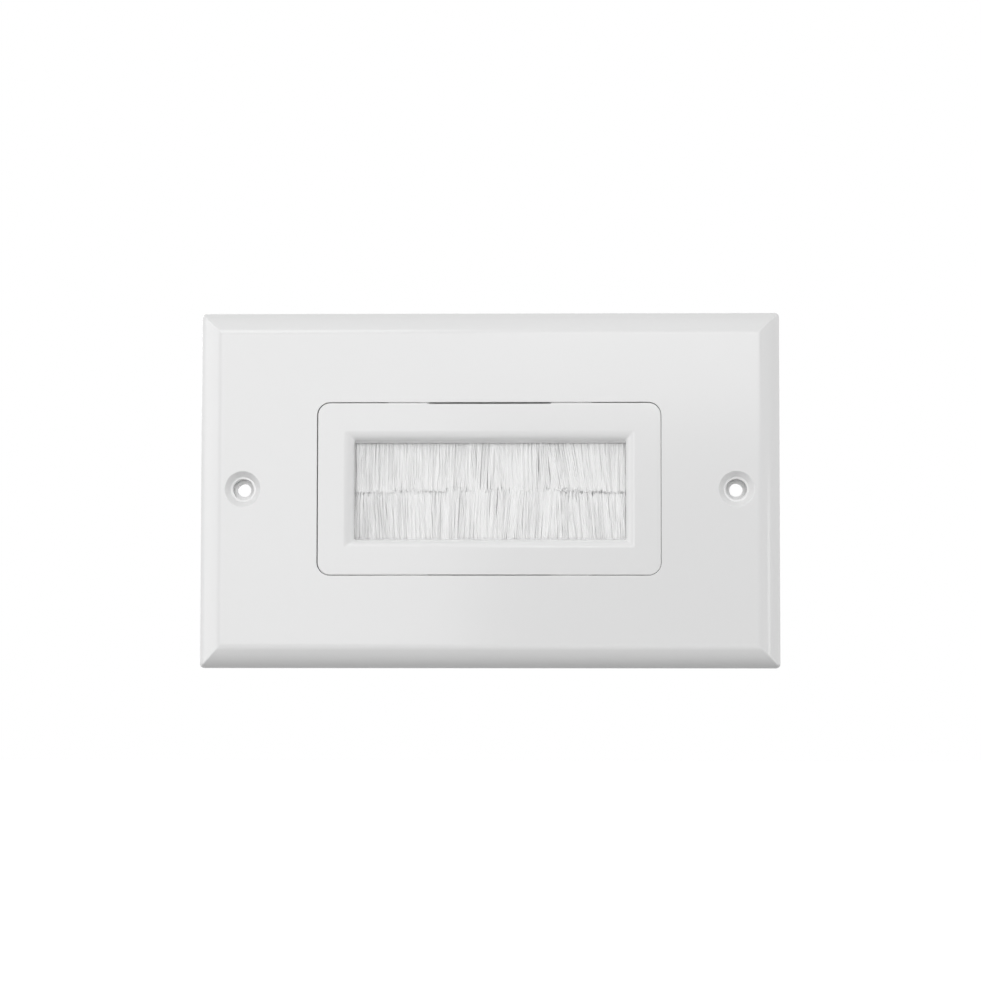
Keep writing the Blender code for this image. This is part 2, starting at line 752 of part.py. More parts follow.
def build_retainer_screws():
    """Four pan-head self-tapping screws, driven from behind."""
    tip = screw_seat + SCREW_LENGTH
    head = SCREW_HEAD / 2
    profile = [
        (0, tip),
        (SCREW_SHANK / 2, tip - SCREW_POINT),
        (SCREW_SHANK / 2, screw_seat),
        (head, screw_seat),
        (head, screw_top + 0.45 * SCREW_HEAD_HEIGHT),
        (0.92 * head, screw_top + 0.18 * SCREW_HEAD_HEIGHT),
        (0.72 * head, screw_top),
        (0, screw_top),
    ]
    for number, place in enumerate(screw_places, start=1):
        screw = turned("retainer_screw_%d" % number, profile, place, 20, zinc_steel)
        cut(screw, *cross_recess(place))


def shade_parts():
    for item in parts.objects:
        if item.type == "MESH":
            item.data.shade_smooth()
            item.data.set_sharp_from_angle(angle=math.radians(30))


build_wall_plate()
build_insert_body()
build_brush_strip("upper", -1, 11)
build_brush_strip("lower", 1, 12)
build_rear_retainer()
build_retainer_screws()
add_planned_booleans()
shade_parts()
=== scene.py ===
# Brush wall plate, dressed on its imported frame.
# Lengths in the dictionaries are in millimetres. A height is a distance from the wall's plane
# towards the room, which lies at negative Y, so it is negative inside the wall box.

import math

import bmesh
import bpy
from mathutils import Matrix, Vector


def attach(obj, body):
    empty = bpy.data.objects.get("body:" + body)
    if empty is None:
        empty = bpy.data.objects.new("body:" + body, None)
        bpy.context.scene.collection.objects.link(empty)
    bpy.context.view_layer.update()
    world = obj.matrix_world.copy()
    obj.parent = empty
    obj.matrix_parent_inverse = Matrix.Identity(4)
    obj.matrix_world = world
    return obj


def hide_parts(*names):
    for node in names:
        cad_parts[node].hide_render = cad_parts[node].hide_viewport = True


mm = 0.001
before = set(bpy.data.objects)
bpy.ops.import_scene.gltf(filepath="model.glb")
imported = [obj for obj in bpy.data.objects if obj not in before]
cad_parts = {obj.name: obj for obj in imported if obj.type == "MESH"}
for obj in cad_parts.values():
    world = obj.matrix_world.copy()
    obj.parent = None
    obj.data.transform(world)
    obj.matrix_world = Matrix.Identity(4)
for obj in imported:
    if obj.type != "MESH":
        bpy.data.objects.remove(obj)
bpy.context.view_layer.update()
print("stage: frame loaded")


# Meshes


def newObject(name, mesh):
    item = bpy.data.objects.new(name, mesh)
    bpy.context.scene.collection.objects.link(item)
    return item


def meshFrom(bm, name):
    bmesh.ops.recalc_face_normals(bm, faces=bm.faces)
    mesh = bpy.data.meshes.new(name)
    bm.to_mesh(mesh)
    bm.free()
    return mesh


def roundRect(halfX, halfZ, radius, steps, middle=(0.0, 0.0)):
    # four corner arcs, anticlockwise from +X
    points = []
    for quarter, (sideX, sideZ) in enumerate(((1, 1), (-1, 1), (-1, -1), (1, -1))):
        for step in range(steps + 1):
            angle = math.radians(90) * (quarter + step / steps)
            x = middle[0] + sideX * (halfX - radius) + radius * math.cos(angle)
            z = middle[1] + sideZ * (halfZ - radius) + radius * math.sin(angle)
            points.append((x, z))
    return points


def circle(radius, steps, middle=(0.0, 0.0)):
    turns = [math.tau * step / steps for step in range(steps)]
    return [(middle[0] + radius * math.cos(a), middle[1] + radius * math.sin(a)) for a in turns]


def softened(corners, steps=4):
    # corners are (across, height, radius), and each radius above zero becomes a small arc
    soft = []
    for index, (across, height, radius) in enumerate(corners):
        here = Vector((across, height))
        if radius == 0 or index in (0, len(corners) - 1):
            soft.append(tuple(here))
            continue
        before = Vector(corners[index - 1][:2]) - here
        after = Vector(corners[index + 1][:2]) - here
        reach = radius / math.tan(before.angle(after) / 2)
        start = here + before.normalized() * reach
        end = here + after.normalized() * reach
        for step in range(steps + 1):
            t = step / steps
            soft.append(tuple((1 - t) ** 2 * start + 2 * t * (1 - t) * here + t * t * end))
    return soft


def skin(name, rings):
    # a closed body through rings of (x, y, z) that have equally many points
    bm = bmesh.new()
    rings = [[bm.verts.new([value * mm for value in point]) for point in ring] for ring in rings]
    count = len(rings[0])
    for first, second in zip(rings, rings[1:]):
        for index in range(count):
            after = (index + 1) % count
            bm.faces.new((first[index], first[after], second[after], second[index]))
    bm.faces.new(rings[0])
    bm.faces.new(rings[-1])
    return newObject(name, meshFrom(bm, name))


def loft(name, sections):
    # a body through outlines in the wall's plane, each (height, points)
    return skin(name, [[(x, -height, z) for x, z in outline] for height, outline in sections])


def prism(name, outline, start, end):
    return loft(name, [(start, outline), (end, outline)])


def moulding(name, size, profile, steps, least=0.1):
    # a rounded block whose outline stands back by each inset of the profile
    sections = []
    for inset, height in profile:
        radius = max(size["corner"] - inset, least)
        outline = roundRect(size["halfX"] - inset, size["halfZ"] - inset, radius, steps)
        sections.append((height, outline))
    return loft(name, sections)


def block(name, xRange, heights, zRange):
    x0, x1 = sorted(xRange)
    z0, z1 = sorted(zRange)
    return prism(name, [(x1, z1), (x0, z1), (x0, z0), (x1, z0)], *heights)


def along(name, section, start, end):
    # a section of (height, z) drawn out from start to end along X
    return skin(name, [[(x, -height, z) for height, z in section] for x in (start, end)])


def rod(name, radius, place, start, end, steps):
    # a round bar along X with softened ends; place is (height, z)
    soft = radius / 4
    narrow = radius - soft
    stations = [(start, narrow), (start + soft, radius), (end - soft, radius), (end, narrow)]
    rings = [[(x, -height, z) for height, z in circle(size, steps, place)] for x, size in stations]
    return skin(name, rings)


def bake(item):
    bpy.context.view_layer.update()
    graph = bpy.context.evaluated_depsgraph_get()
    baked = bpy.data.meshes.new_from_object(
        item.evaluated_get(graph), preserve_all_data_layers=True, depsgraph=graph)
    item.modifiers.clear()
    old = item.data
    item.data = baked
    bpy.data.meshes.remove(old)


def combine(target, operation, *tools):
    # one exact Boolean with all the tools, which are then gone
    group = bpy.data.collections.new("tools")
    bpy.context.scene.collection.children.link(group)
    for tool in tools:
        bpy.context.scene.collection.objects.unlink(tool)
        group.objects.link(tool)
    step = target.modifiers.new("combine", "BOOLEAN")
    step.operation = operation
    step.solver = "EXACT"
    step.operand_type = "COLLECTION"
    step.collection = group
    bake(target)
    for tool in tools:
        bpy.data.meshes.remove(tool.data)
    bpy.data.collections.remove(group)
    return target


def cut(target, *tools):
    return combine(target, "DIFFERENCE", *tools)


def join(target, *tools):
    return combine(target, "UNION", *tools)


def finishPiece(item, material, slot, *nodes, smooth=30.0):
    item.data.materials.clear()
    item.data.materials.append(material)
    item.data.shade_smooth()
    item.data.set_sharp_from_angle(angle=math.radians(smooth))
    normals = item.modifiers.new("normals", "WEIGHTED_NORMAL")
    normals.keep_sharp = True
    normals.weight = 100
    bake(item)
    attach(item, "root")
    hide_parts(*nodes)
    print("stage:", item.name, len(item.data.polygons), "faces")


# Node trees


def plug(tree, source, socket):
    # source is a value, or another node's output
    if isinstance(source, bpy.types.NodeSocket):
        tree.links.new(source, socket)
    else:
        socket.default_value = source


def addNode(tree, kind, inputs=None, **settings):
    node = tree.nodes.new(kind)
    for name, value in settings.items():
        setattr(node, name, value)
    for name, source in (inputs or {}).items():
        plug(tree, source, node.inputs[name])
    return node


def result(tree, kind, inputs=None, **settings):
    return addNode(tree, kind, inputs, **settings).outputs[0]


def calc(tree, operation, *sources):
    return result(tree, "ShaderNodeMath", dict(enumerate(sources)), operation=operation)


def vectorCalc(tree, operation, inputs):
    return result(tree, "ShaderNodeVectorMath", inputs, operation=operation)


def vector(tree, x, y, z):
    return result(tree, "ShaderNodeCombineXYZ", {0: x, 1: y, 2: z})


def remap(tree, value, low, high, newLow=0.0, newHigh=1.0, curve="LINEAR"):
    inputs = {"Value": value, "From Min": low, "From Max": high, "To Min": newLow, "To Max": newHigh}
    return result(tree, "ShaderNodeMapRange", inputs, interpolation_type=curve)


def noise(tree, where, scale, detail):
    return result(tree, "ShaderNodeTexNoise", {"Vector": where, "Scale": scale, "Detail": detail})


def attribute(tree, name):
    return addNode(tree, "ShaderNodeAttribute", attribute_name=name).outputs["Fac"]


def keep(tree, geometry, name, value, kind="FLOAT"):
    # stores the value on the points, under a name that later nodes and the material read
    inputs = {"Geometry": geometry, "Name": name, "Value": value}
    return result(tree, "GeometryNodeStoreNamedAttribute", inputs, data_type=kind, domain="POINT")


def recall(tree, name, kind="FLOAT"):
    return result(tree, "GeometryNodeInputNamedAttribute", {"Name": name}, data_type=kind)


def blankMaterial(name):
    # the material, its tree and the sockets of its shader
    material = bpy.data.materials.new(name)
    material.use_nodes = True
    tree = material.node_tree
    return material, tree, tree.nodes["Principled BSDF"].inputs


def openSockets(tree, inputs, outputs):
    for name, kind, value in inputs:
        socket = tree.interface.new_socket(name, in_out="INPUT", socket_type="NodeSocket" + kind)
        if value is not None:
            socket.default_value = value
    for name, kind in outputs:
        tree.interface.new_socket(name, in_out="OUTPUT", socket_type="NodeSocket" + kind)
    entry = tree.nodes.new("NodeGroupInput").outputs
    leave = tree.nodes.new("NodeGroupOutput").inputs
    return entry, leave


# Camera, light and floor

camera = {
    "place": (20.4, -700.0, -47.6),
    "target": (0.09, 0.0, 0.08),
    "lens": 130.42,
    "roll": 0.0013,    # radians
}


def aim(item, target):
    toward = Vector(target) * mm - item.location
    item.rotation_euler = toward.to_track_quat("-Z", "Y").to_euler()


def addCamera():
    data = bpy.data.cameras.new("camera")
    data.lens = camera["lens"]
    data.sensor_width = 36.0
    data.clip_start = 0.01
    item = newObject("camera", data)
    item.location = Vector(camera["place"]) * mm
    aim(item, camera["target"])
    item.rotation_euler.rotate_axis("Z", camera["roll"])
    bpy.context.scene.camera = item


lamps = {
    # each is (place, target, width, height, brightness as a reflection shows it)
    "panelLeft": ((-146.0, -500.0, 75.0), (-146.0, 0.0, 75.0), 250.0, 250.0, 2.02),
    "panelTop": ((166.0, -500.0, 183.0), (166.0, 0.0, 183.0), 375.0, 250.0, 2.38),
    "key": ((-200.0, -450.0, 450.0), (0.0, 0.0, 0.0), 350.0, 300.0, 2.42),
    "sideLeft": ((-600.0, -100.0, 60.0), (0.0, 0.0, 60.0), 700.0, 700.0, 1.20),
    "sideRight": ((500.0, 0.0, 80.0), (0.0, 0.0, 60.0), 700.0, 500.0, 0.60),
    "strip": ((480.0, -78.0, -6.0), (52.0, 0.0, -15.0), 60.0, 75.0, 2.1),
    "behind": ((0.0, 800.0, 250.0), (0.0, 0.0, 0.0), 900.0, 700.0, 0.70),
    "behindLeft": ((-420.0, 520.0, 200.0), (0.0, 0.0, 0.0), 260.0, 260.0, 4.5),
}


def addLamps():
    for name, (place, target, width, height, brightness) in lamps.items():
        data = bpy.data.lights.new(name, "AREA")
        data.shape = "RECTANGLE"
        data.size = width * mm
        data.size_y = height * mm
        data.energy = brightness * math.pi * data.size * data.size_y
        item = newObject(name, data)
        item.location = Vector(place) * mm
        item.visible_camera = False
        aim(item, target)


room = {
    "light": 0.32, "floor": -150.0, "reach": 12000.0, "floorShade": 0.40, "floorPale": 0.90,
    "floorGlow": 0.73, "floorRough": 0.9, "floorSpecular": 0.1,
    # painted reflection: how bright reflections show the floor in front of the object and behind it, and
    # over what depth one passes into the other
    "paintedSheenFront": 1.5, "paintedSheenBack": 0.1, "paintedSheenBlend": 50.0,
}


def seenDirectly(tree):
    # 1 for what the camera, a reflection or a view through the object sees of the backdrop
    rays = addNode(tree, "ShaderNodeLightPath").outputs
    seen = calc(tree, "MAXIMUM", rays["Is Camera Ray"], rays["Is Glossy Ray"])
    return calc(tree, "MAXIMUM", seen, rays["Is Transmission Ray"])


def addWorld():
    world = bpy.data.worlds.new("studio")
    bpy.context.scene.world = world
    world.use_nodes = True
    tree = world.node_tree
    tree.nodes.clear()
    strength = remap(tree, seenDirectly(tree), 0.0, 1.0, room["light"], 1.0)
    sky = result(tree, "ShaderNodeBackground", {"Color": (1, 1, 1, 1), "Strength": strength})
    addNode(tree, "ShaderNodeOutputWorld", {"Surface": sky})


def addFloor():
    material, tree, shader = blankMaterial("paleFloor")
    shade = remap(tree, seenDirectly(tree), 0.0, 1.0, room["floorShade"], room["floorPale"])
    colour = result(tree, "ShaderNodeCombineColor", {0: shade, 1: shade, 2: shade})
    plug(tree, colour, shader["Base Color"])
    # painted reflection: reflections alone see the floor glow bright in front of the object and dim behind
    # it, in place of the lamps' light there and the object's shade
    where = addNode(tree, "ShaderNodeTexCoord").outputs["Object"]
    depth = addNode(tree, "ShaderNodeSeparateXYZ", {0: where}).outputs[1]
    blend = room["paintedSheenBlend"] * mm
    paintedSheen = remap(tree, depth, -blend, blend, room["paintedSheenFront"], room["paintedSheenBack"], "SMOOTHSTEP")
    rays = addNode(tree, "ShaderNodeLightPath").outputs
    direct = calc(tree, "MAXIMUM", rays["Is Camera Ray"], rays["Is Transmission Ray"])
    glow = calc(tree, "MULTIPLY", direct, room["floorGlow"])
    glow = calc(tree, "MULTIPLY_ADD", rays["Is Glossy Ray"], paintedSheen, glow)
    plug(tree, glow, shader["Emission Strength"])
    plug(tree, (1, 1, 1, 1), shader["Emission Color"])
    plug(tree, room["floorRough"], shader["Roughness"])
    plug(tree, room["floorSpecular"], shader["Specular IOR Level"])
    bm = bmesh.new()
    bmesh.ops.create_grid(bm, x_segments=1, y_segments=1, size=room["reach"] * mm)
    item = newObject("floor", meshFrom(bm, "floor"))
    item.location = (0, 0, room["floor"] * mm)
    item.data.materials.append(material)


addCamera()
addLamps()
addWorld()
addFloor()
bpy.context.scene.view_settings.view_transform = "Standard"
print("stage: camera and light")


# Materials


mould = {
    # noise scales per metre, how strong a mark shows, and what flow and marks add to the roughness
    "flow": 24.0, "peel": 620.0, "grain": 5200.0, "marks": (60.0, 60.0, 900.0),
    "marksTurn": (0.1, 0.3, 0.5), "marksFrom": 0.58, "marksTo": 0.75, "marksRough": 0.04,
    "flowRough": 0.03,
}
drawing = {
    "streaks": (40.0, 4000.0, 4000.0), "streaksRough": 0.18, "bloom": 900.0, "bloomEdge": 0.9,
    "bloomShades": (0.92, 1.04),
}
frosting = {"from": 0.9, "rough": 0.3}


def mouldedSurface():
    # what a polished injection mould leaves: faint flow, orange peel and handling marks
    m = mould
    tree = bpy.data.node_groups.new("mouldedSurface", "ShaderNodeTree")
    entry, leave = openSockets(
        tree,
        [("Base", "Color", (0.8, 0.8, 0.8, 1)), ("Shade", "Float", 0.02), ("Gloss", "Float", 0.2),
         ("Peel", "Float", 0.2), ("Grain", "Float", 0.0)],
        [("Color", "Color"), ("Roughness", "Float"), ("Height", "Float")])
    where = addNode(tree, "ShaderNodeTexCoord").outputs["Object"]
    flow = noise(tree, where, m["flow"], 3.0)
    peel = noise(tree, where, m["peel"], 1.5)
    grain = noise(tree, where, m["grain"], 2.0)
    turned = {"Vector": where, "Rotation": m["marksTurn"], "Scale": m["marks"]}
    marks = noise(tree, result(tree, "ShaderNodeMapping", turned), 1.0, 5.0)
    faint = remap(tree, marks, m["marksFrom"], m["marksTo"])
    uneven = calc(tree, "MULTIPLY_ADD", flow, entry["Shade"], 1.0)
    roughness = calc(tree, "MULTIPLY_ADD", flow, m["flowRough"], entry["Gloss"])
    roughness = calc(tree, "MULTIPLY_ADD", faint, m["marksRough"], roughness)
    height = calc(tree, "MULTIPLY", peel, entry["Peel"])
    height = calc(tree, "MULTIPLY_ADD", grain, entry["Grain"], height)
    plug(tree, vectorCalc(tree, "SCALE", {0: entry["Base"], "Scale": uneven}), leave["Color"])
    plug(tree, roughness, leave["Roughness"])
    plug(tree, height, leave["Height"])
    return tree


def drawnMetal():
    # drawing streaks along X under a soft zinc bloom
    d = drawing
    tree = bpy.data.node_groups.new("drawnMetal", "ShaderNodeTree")
    entry, leave = openSockets(
        tree,
        [("Base", "Color", (0.6, 0.6, 0.6, 1)), ("Gloss", "Float", 0.3)],
        [("Color", "Color"), ("Roughness", "Float"), ("Height", "Float")])
    where = addNode(tree, "ShaderNodeTexCoord").outputs["Object"]
    stretched = result(tree, "ShaderNodeMapping", {"Vector": where, "Scale": d["streaks"]})
    streaks = noise(tree, stretched, 1.0, 4.0)
    bloom = addNode(tree, "ShaderNodeTexVoronoi", {"Vector": where, "Scale": d["bloom"]})
    patch = remap(tree, bloom.outputs["Distance"], 0.0, d["bloomEdge"], *d["bloomShades"])
    roughness = calc(tree, "MULTIPLY_ADD", streaks, d["streaksRough"], entry["Gloss"])
    plug(tree, vectorCalc(tree, "SCALE", {0: entry["Base"], "Scale": patch}), leave["Color"])
    plug(tree, roughness, leave["Roughness"])
    plug(tree, streaks, leave["Height"])
    return tree


def filamentTone():
    # each filament has its own tone, and frosts a little where it was cut; the tone also carries painted
    # shade, which gives the filaments at the left end of the row the darker colour
    tree = bpy.data.node_groups.new("filamentTone", "ShaderNodeTree")
    entry, leave = openSockets(
        tree,
        [("ClearAndShade", "Color", (0.8, 0.8, 0.8, 1)), ("Milky", "Color", (0.9, 0.9, 0.9, 1)),
         ("Gloss", "Float", 0.3)],
        [("Color", "Color"), ("Roughness", "Float")])
    frost = remap(tree, attribute(tree, "share"), frosting["from"], 1.0)
    amount = calc(tree, "MAXIMUM", attribute(tree, "toneAndShade"), frost)
    colours = {0: amount, 6: entry["ClearAndShade"], 7: entry["Milky"]}
    mix = addNode(tree, "ShaderNodeMix", colours, data_type="RGBA")
    roughness = calc(tree, "MULTIPLY_ADD", frost, frosting["rough"], entry["Gloss"])
    plug(tree, mix.outputs[2], leave["Color"])
    plug(tree, roughness, leave["Roughness"])
    return tree


def newMaterial(name, effect, inputs, bump=0.0, **settings):
    material, tree, shader = blankMaterial(name)
    group = tree.nodes.new("ShaderNodeGroup")
    group.node_tree = effect
    for key, value in inputs.items():
        plug(tree, value, group.inputs[key])
    plug(tree, group.outputs["Color"], shader["Base Color"])
    plug(tree, group.outputs["Roughness"], shader["Roughness"])
    if bump:
        relief = {"Height": group.outputs["Height"], "Distance": bump * mm}
        plug(tree, result(tree, "ShaderNodeBump", relief), shader["Normal"])
    for key, value in settings.items():
        plug(tree, value, shader[key])
    return material


moulded = mouldedSurface()
drawn = drawnMetal()
platePlastic = newMaterial(
    "platePlastic", moulded,
    {"Base": (0.865, 0.865, 0.865, 1), "Shade": 0.012, "Gloss": 0.12, "Peel": 0.15}, bump=0.01)
insertPlastic = newMaterial(
    "insertPlastic", moulded,
    {"Base": (0.865, 0.865, 0.865, 1), "Shade": 0.012, "Gloss": 0.13, "Peel": 0.15}, bump=0.01)
retainerPlastic = newMaterial(
    "retainerPlastic", moulded,
    {"Base": (0.82, 0.82, 0.81, 1), "Shade": 0.02, "Gloss": 0.40, "Peel": 0.2, "Grain": 0.5}, bump=0.02)
zincSteel = newMaterial(
    "zincSteel", drawn, {"Base": (0.66, 0.67, 0.69, 1), "Gloss": 0.22}, bump=0.01, Metallic=1.0)
nylon = newMaterial(
    "nylonFilament", filamentTone(),
    {"ClearAndShade": (0.932, 0.932, 0.932, 1), "Milky": (0.99, 0.99, 0.99, 1), "Gloss": 0.32})
print("stage: materials")


# Heights that the pieces share

level = {
    "strapBack": 0.2, "strapFront": 1.8, "strapSeat": 2.1, "cavity": 3.8, "plateFace": 6.0,
    "insertFace": 6.15, "chamber": 3.56, "channelFront": 3.5, "channelBack": 0.1, "brush": 1.8,
    "retainerFront": -0.2, "retainerBack": -2.2, "bossFoot": 0.1, "screwSeat": -2.5, "skirtBack": -4.3,
}
over = 1.0    # how far a cutter runs past what it cuts
bite = 0.4    # how far joined shapes run into each other
proud = 0.03    # how far a flared cutter stands out of the face


# Cover plate

plate = {
    "halfX": 57.0, "halfZ": 35.0, "edge": 2.0, "edgeSoft": 0.35, "bevel": 4.0, "bulge": 34.0, "blend": 2.6,
    "foot": 0.12, "corner": 0.8, "mitre": 0.22, "rim": 2.0, "cavityInset": 4.911, "cavityCorner": 0.6,
    "rib": 1.2, "ribSetback": 0.3, "longRibs": (12.0, 30.0, 48.0), "endRibs": (0.0, 13.0, 26.0),
    "openX": 33.83, "openZ": 16.98, "openCorner": 2.68, "lip": 0.16,
    "seamHalf": (33.74, 17.01), "seamCorner": 2.56, "seamShift": (-0.05, 0.03),
    "screwX": 48.4, "sinkRadius": 3.5, "sinkFloor": 2.45, "sinkDepth": 1.4, "bore": 2.05,
    "boreSoft": 0.10, "sinkSoft": 0.08, "sinkLip": 0.22,
    "boss": 3.95, "catchZ": 19.3, "barbHeight": 1.267, "barbReach": 0.35, "barbGap": 0.15, "catchHalf": 10.8,
}


def bevelArc(width, drop, bulge, steps):
    # (inset, rise) on a convex arc from the edge up to the face
    steepest = math.atan2(drop, width) + bulge / 2
    radius = math.hypot(width, drop) / 2 / math.sin(bulge / 2)
    points = []
    for step in range(steps + 1):
        slope = steepest - bulge * step / steps
        inset = radius * (math.sin(steepest) - math.sin(slope))
        rise = radius * (math.cos(slope) - math.cos(steepest))
        points.append((inset, rise))
    return points


def bevelProfile():
    # (inset, height) up the convex bevel, then round its softer blend into the face
    p = plate
    top = level["plateFace"]
    drop = top - p["edge"]
    turn = math.radians(p["bulge"])
    slope = 0.0
    for _ in range(30):    # settles on the slope at which the arc meets the blend
        reach = p["blend"] * math.tan(slope / 2)
        width = p["bevel"] - reach * math.cos(slope)
        slope = math.atan2(drop - reach * math.sin(slope), width) - turn / 2
    reach = p["blend"] * math.tan(slope / 2)
    width = p["bevel"] - reach * math.cos(slope)
    arc = bevelArc(width, drop - reach * math.sin(slope), turn, 14)
    points = [(inset, p["edge"] + rise) for inset, rise in arc]
    for step in range(1, 9):
        angle = slope * (1 - step / 8)
        inset = p["bevel"] + reach - p["blend"] * math.sin(angle)
        points.append((inset, top - p["blend"] * (1 - math.cos(angle))))
    return points


def plateSkin():
    p = plate
    corners = [(p["foot"], 0.0, 0.0), (0.0, p["foot"], 0.0)]
    for index, (inset, height) in enumerate(bevelProfile()):
        corners.append((inset, height, 0.0 if index else p["edgeSoft"]))
    return moulding("plateShell", p, softened(corners, 4), 4, p["mitre"])


def plateCavity():
    p = plate
    foot = max(level["cavity"] - (p["cavityInset"] - p["rim"]), p["edge"] / 4)
    sections = []
    for height, inset in ((-over, p["rim"]), (foot, p["rim"]), (level["cavity"], p["cavityInset"])):
        outline = roundRect(p["halfX"] - inset, p["halfZ"] - inset, p["cavityCorner"], 4)
        sections.append((height, outline))
    return loft("cavity", sections)


def plateRibs():
    # the collar round the opening, the ribs, the screw bosses and the tongues' catch ribs
    p = plate
    top = level["plateFace"] + over
    heights = (level["strapSeat"] + p["ribSetback"], top)
    half = p["rib"] / 2
    collarX = p["openX"] + p["rib"]
    collarZ = p["openZ"] + p["rib"]
    outline = roundRect(collarX, collarZ, p["openCorner"] + p["rib"], 10)
    kept = [prism("collar", outline, level["strapSeat"], top)]
    for side in (1, -1):
        for rib in p["longRibs"]:
            for x in (rib, -rib):
                kept.append(block("rib", (x - half, x + half), heights,
                                  (side * (collarZ - bite), side * p["halfZ"])))
        for rib in p["endRibs"]:
            near = collarX - bite if rib < collarZ else p["longRibs"][1]
            for z in {rib, -rib}:
                kept.append(block("rib", (side * near, side * p["halfX"]), heights, (z - half, z + half)))
        kept.append(prism("boss", circle(p["boss"], 48, (side * p["screwX"], 0)), level["strapSeat"], top))
        kept.append(catchRib(side, top))
    return kept


def catchRib(side, top):
    p = plate
    reach = p["barbReach"]
    groove = reach + p["barbGap"]
    near = p["catchZ"]
    far = near + p["rib"]
    mid = p["barbHeight"]
    low = level["strapBack"]
    section = [(top, near), (mid + groove, near), (mid, near + reach), (mid - groove, near),
               (low, near), (low, far), (top, far)]
    return along("catch", [(height, side * z) for height, z in section], -p["catchHalf"], p["catchHalf"])


def plateOpening():
    # not quite in line with the insert, as the pieces have settled
    p = plate
    top = level["plateFace"]
    halfX, halfZ = p["seamHalf"]
    radius = p["seamCorner"]
    corners = [(0.0, level["strapSeat"] - over, 0.0), (0.0, top, p["lip"]), (over, top, 0.0)]
    profile = softened(corners, 5)[:-1]
    profile.append((profile[-1][0] + proud, top + proud))
    sections = []
    for flare, height in profile:
        outline = roundRect(halfX + flare, halfZ + flare, radius + flare, 10, p["seamShift"])
        sections.append((height, outline))
    return loft("opening", sections)


def countersink(side):
    p = plate
    top = level["plateFace"]
    floor = top - p["sinkDepth"]
    corners = [
        (p["bore"], level["strapSeat"] - over, 0.0), (p["bore"], floor, p["boreSoft"]),
        (p["sinkFloor"], floor, p["sinkSoft"]), (p["sinkRadius"], top, p["sinkLip"]),
        (p["sinkRadius"] + over, top, 0.0)]
    soft = softened(corners, 4)[:-1]
    sections = [(height, radius) for radius, height in soft]
    sections.append((top + proud, soft[-1][0] + 2 * proud))
    place = (side * p["screwX"], 0)
    return loft("sink", [(height, circle(radius, 64, place)) for height, radius in sections])


def buildPlate():
    shell = plateSkin()
    cavity = cut(plateCavity(), *plateRibs())
    cut(shell, cavity, plateOpening(), countersink(1), countersink(-1))
    finishPiece(shell, platePlastic, "plate_plastic", "wall_plate")


buildPlate()


# Insert, moulded with its mounting strap

insert = {
    "halfX": 33.62, "halfZ": 16.89, "corner": 2.44, "foot": 0.15, "edge": 0.3, "faceRing": 1.2,
    "chamberX": 32.15, "chamberZ": 15.3, "chamberCorner": 0.8,
    "windowX": 26.66, "windowZ": 9.82, "windowShift": (0.14, -0.18), "windowCorner": 0.3,
    "draftTop": 0.34, "draftBottom": 0.20, "draftSide": 0.03,
    "mouthX": 28.6, "mouthZ": 11.6, "funnelRadius": 2.32, "funnelTurn": 62.0, "funnelLip": 0.12,
    "reliefHalf": 12.0, "reliefTop": 0.22, "reliefBottom": 0.07, "reliefFoot": 4.6, "reliefRamp": 0.3,
    "strapX": 52.4, "strapZ": 19.0, "strapCorner": 3.0, "strapEdge": 0.15, "tongue": 12.0, "notch": 8.0,
    "barbHalf": 9.6, "barbReach": 0.35, "pilot": 1.3, "pilotX": 48.4, "slotX": 41.65,
    "slotHalfWidth": 2.1, "slotHalfLength": 4.0, "gussetReach": 3.5, "gussetZ": 10.0, "rib": 1.2,
    "bossX": 30.35, "bossZ": 13.5, "boss": 2.0, "seatX": 27.45, "seatZ": 10.2, "screwHole": 1.2,
    "screwHoleEnd": 2.8, "holeEdge": 0.1, "barbInset": 0.05,
}


def insertBlock():
    n = insert
    corners = [(n["foot"], level["skirtBack"], 0.0), (0.0, level["skirtBack"] + n["foot"], 0.0),
               (0.0, level["insertFace"], n["edge"]), (n["faceRing"], level["insertFace"], 0.0)]
    return moulding("insertShell", n, softened(corners, 6), 10)


def strapOutline(shrink):
    n = insert
    halfZ = n["strapZ"] - shrink
    root = n["halfZ"] - bite
    near = n["tongue"] - shrink
    far = n["tongue"] + n["notch"] + shrink
    corners = roundRect(n["strapX"] - shrink, halfZ, n["strapCorner"] - shrink, 8)
    quarter = len(corners) // 4
    notch = [(far, halfZ), (far, root), (near, root), (near, halfZ)]
    upper = notch + [(-x, z) for x, z in reversed(notch)]
    lower = [(-x, -z) for x, z in upper]
    return corners[:quarter] + upper + corners[quarter:3 * quarter] + lower + corners[3 * quarter:]


def strapBody():
    soft = insert["strapEdge"]
    back = level["strapBack"]
    front = level["strapFront"]
    sections = [(back, strapOutline(soft)), (back + soft, strapOutline(0.0)),
                (front - soft, strapOutline(0.0)), (front, strapOutline(soft))]
    return loft("strap", sections)


def tongueBarb(side):
    n = insert
    mid = plate["barbHeight"]
    reach = n["barbReach"]
    foot = n["strapZ"] - bite
    upper = min(mid + reach + bite, level["strapFront"] - n["barbInset"])
    lower = max(mid - reach - bite, level["strapBack"] + n["barbInset"])
    section = [(upper, foot), (mid, n["strapZ"] + reach), (lower, foot)]
    return along("barb", [(height, side * z) for height, z in section], -n["barbHalf"], n["barbHalf"])


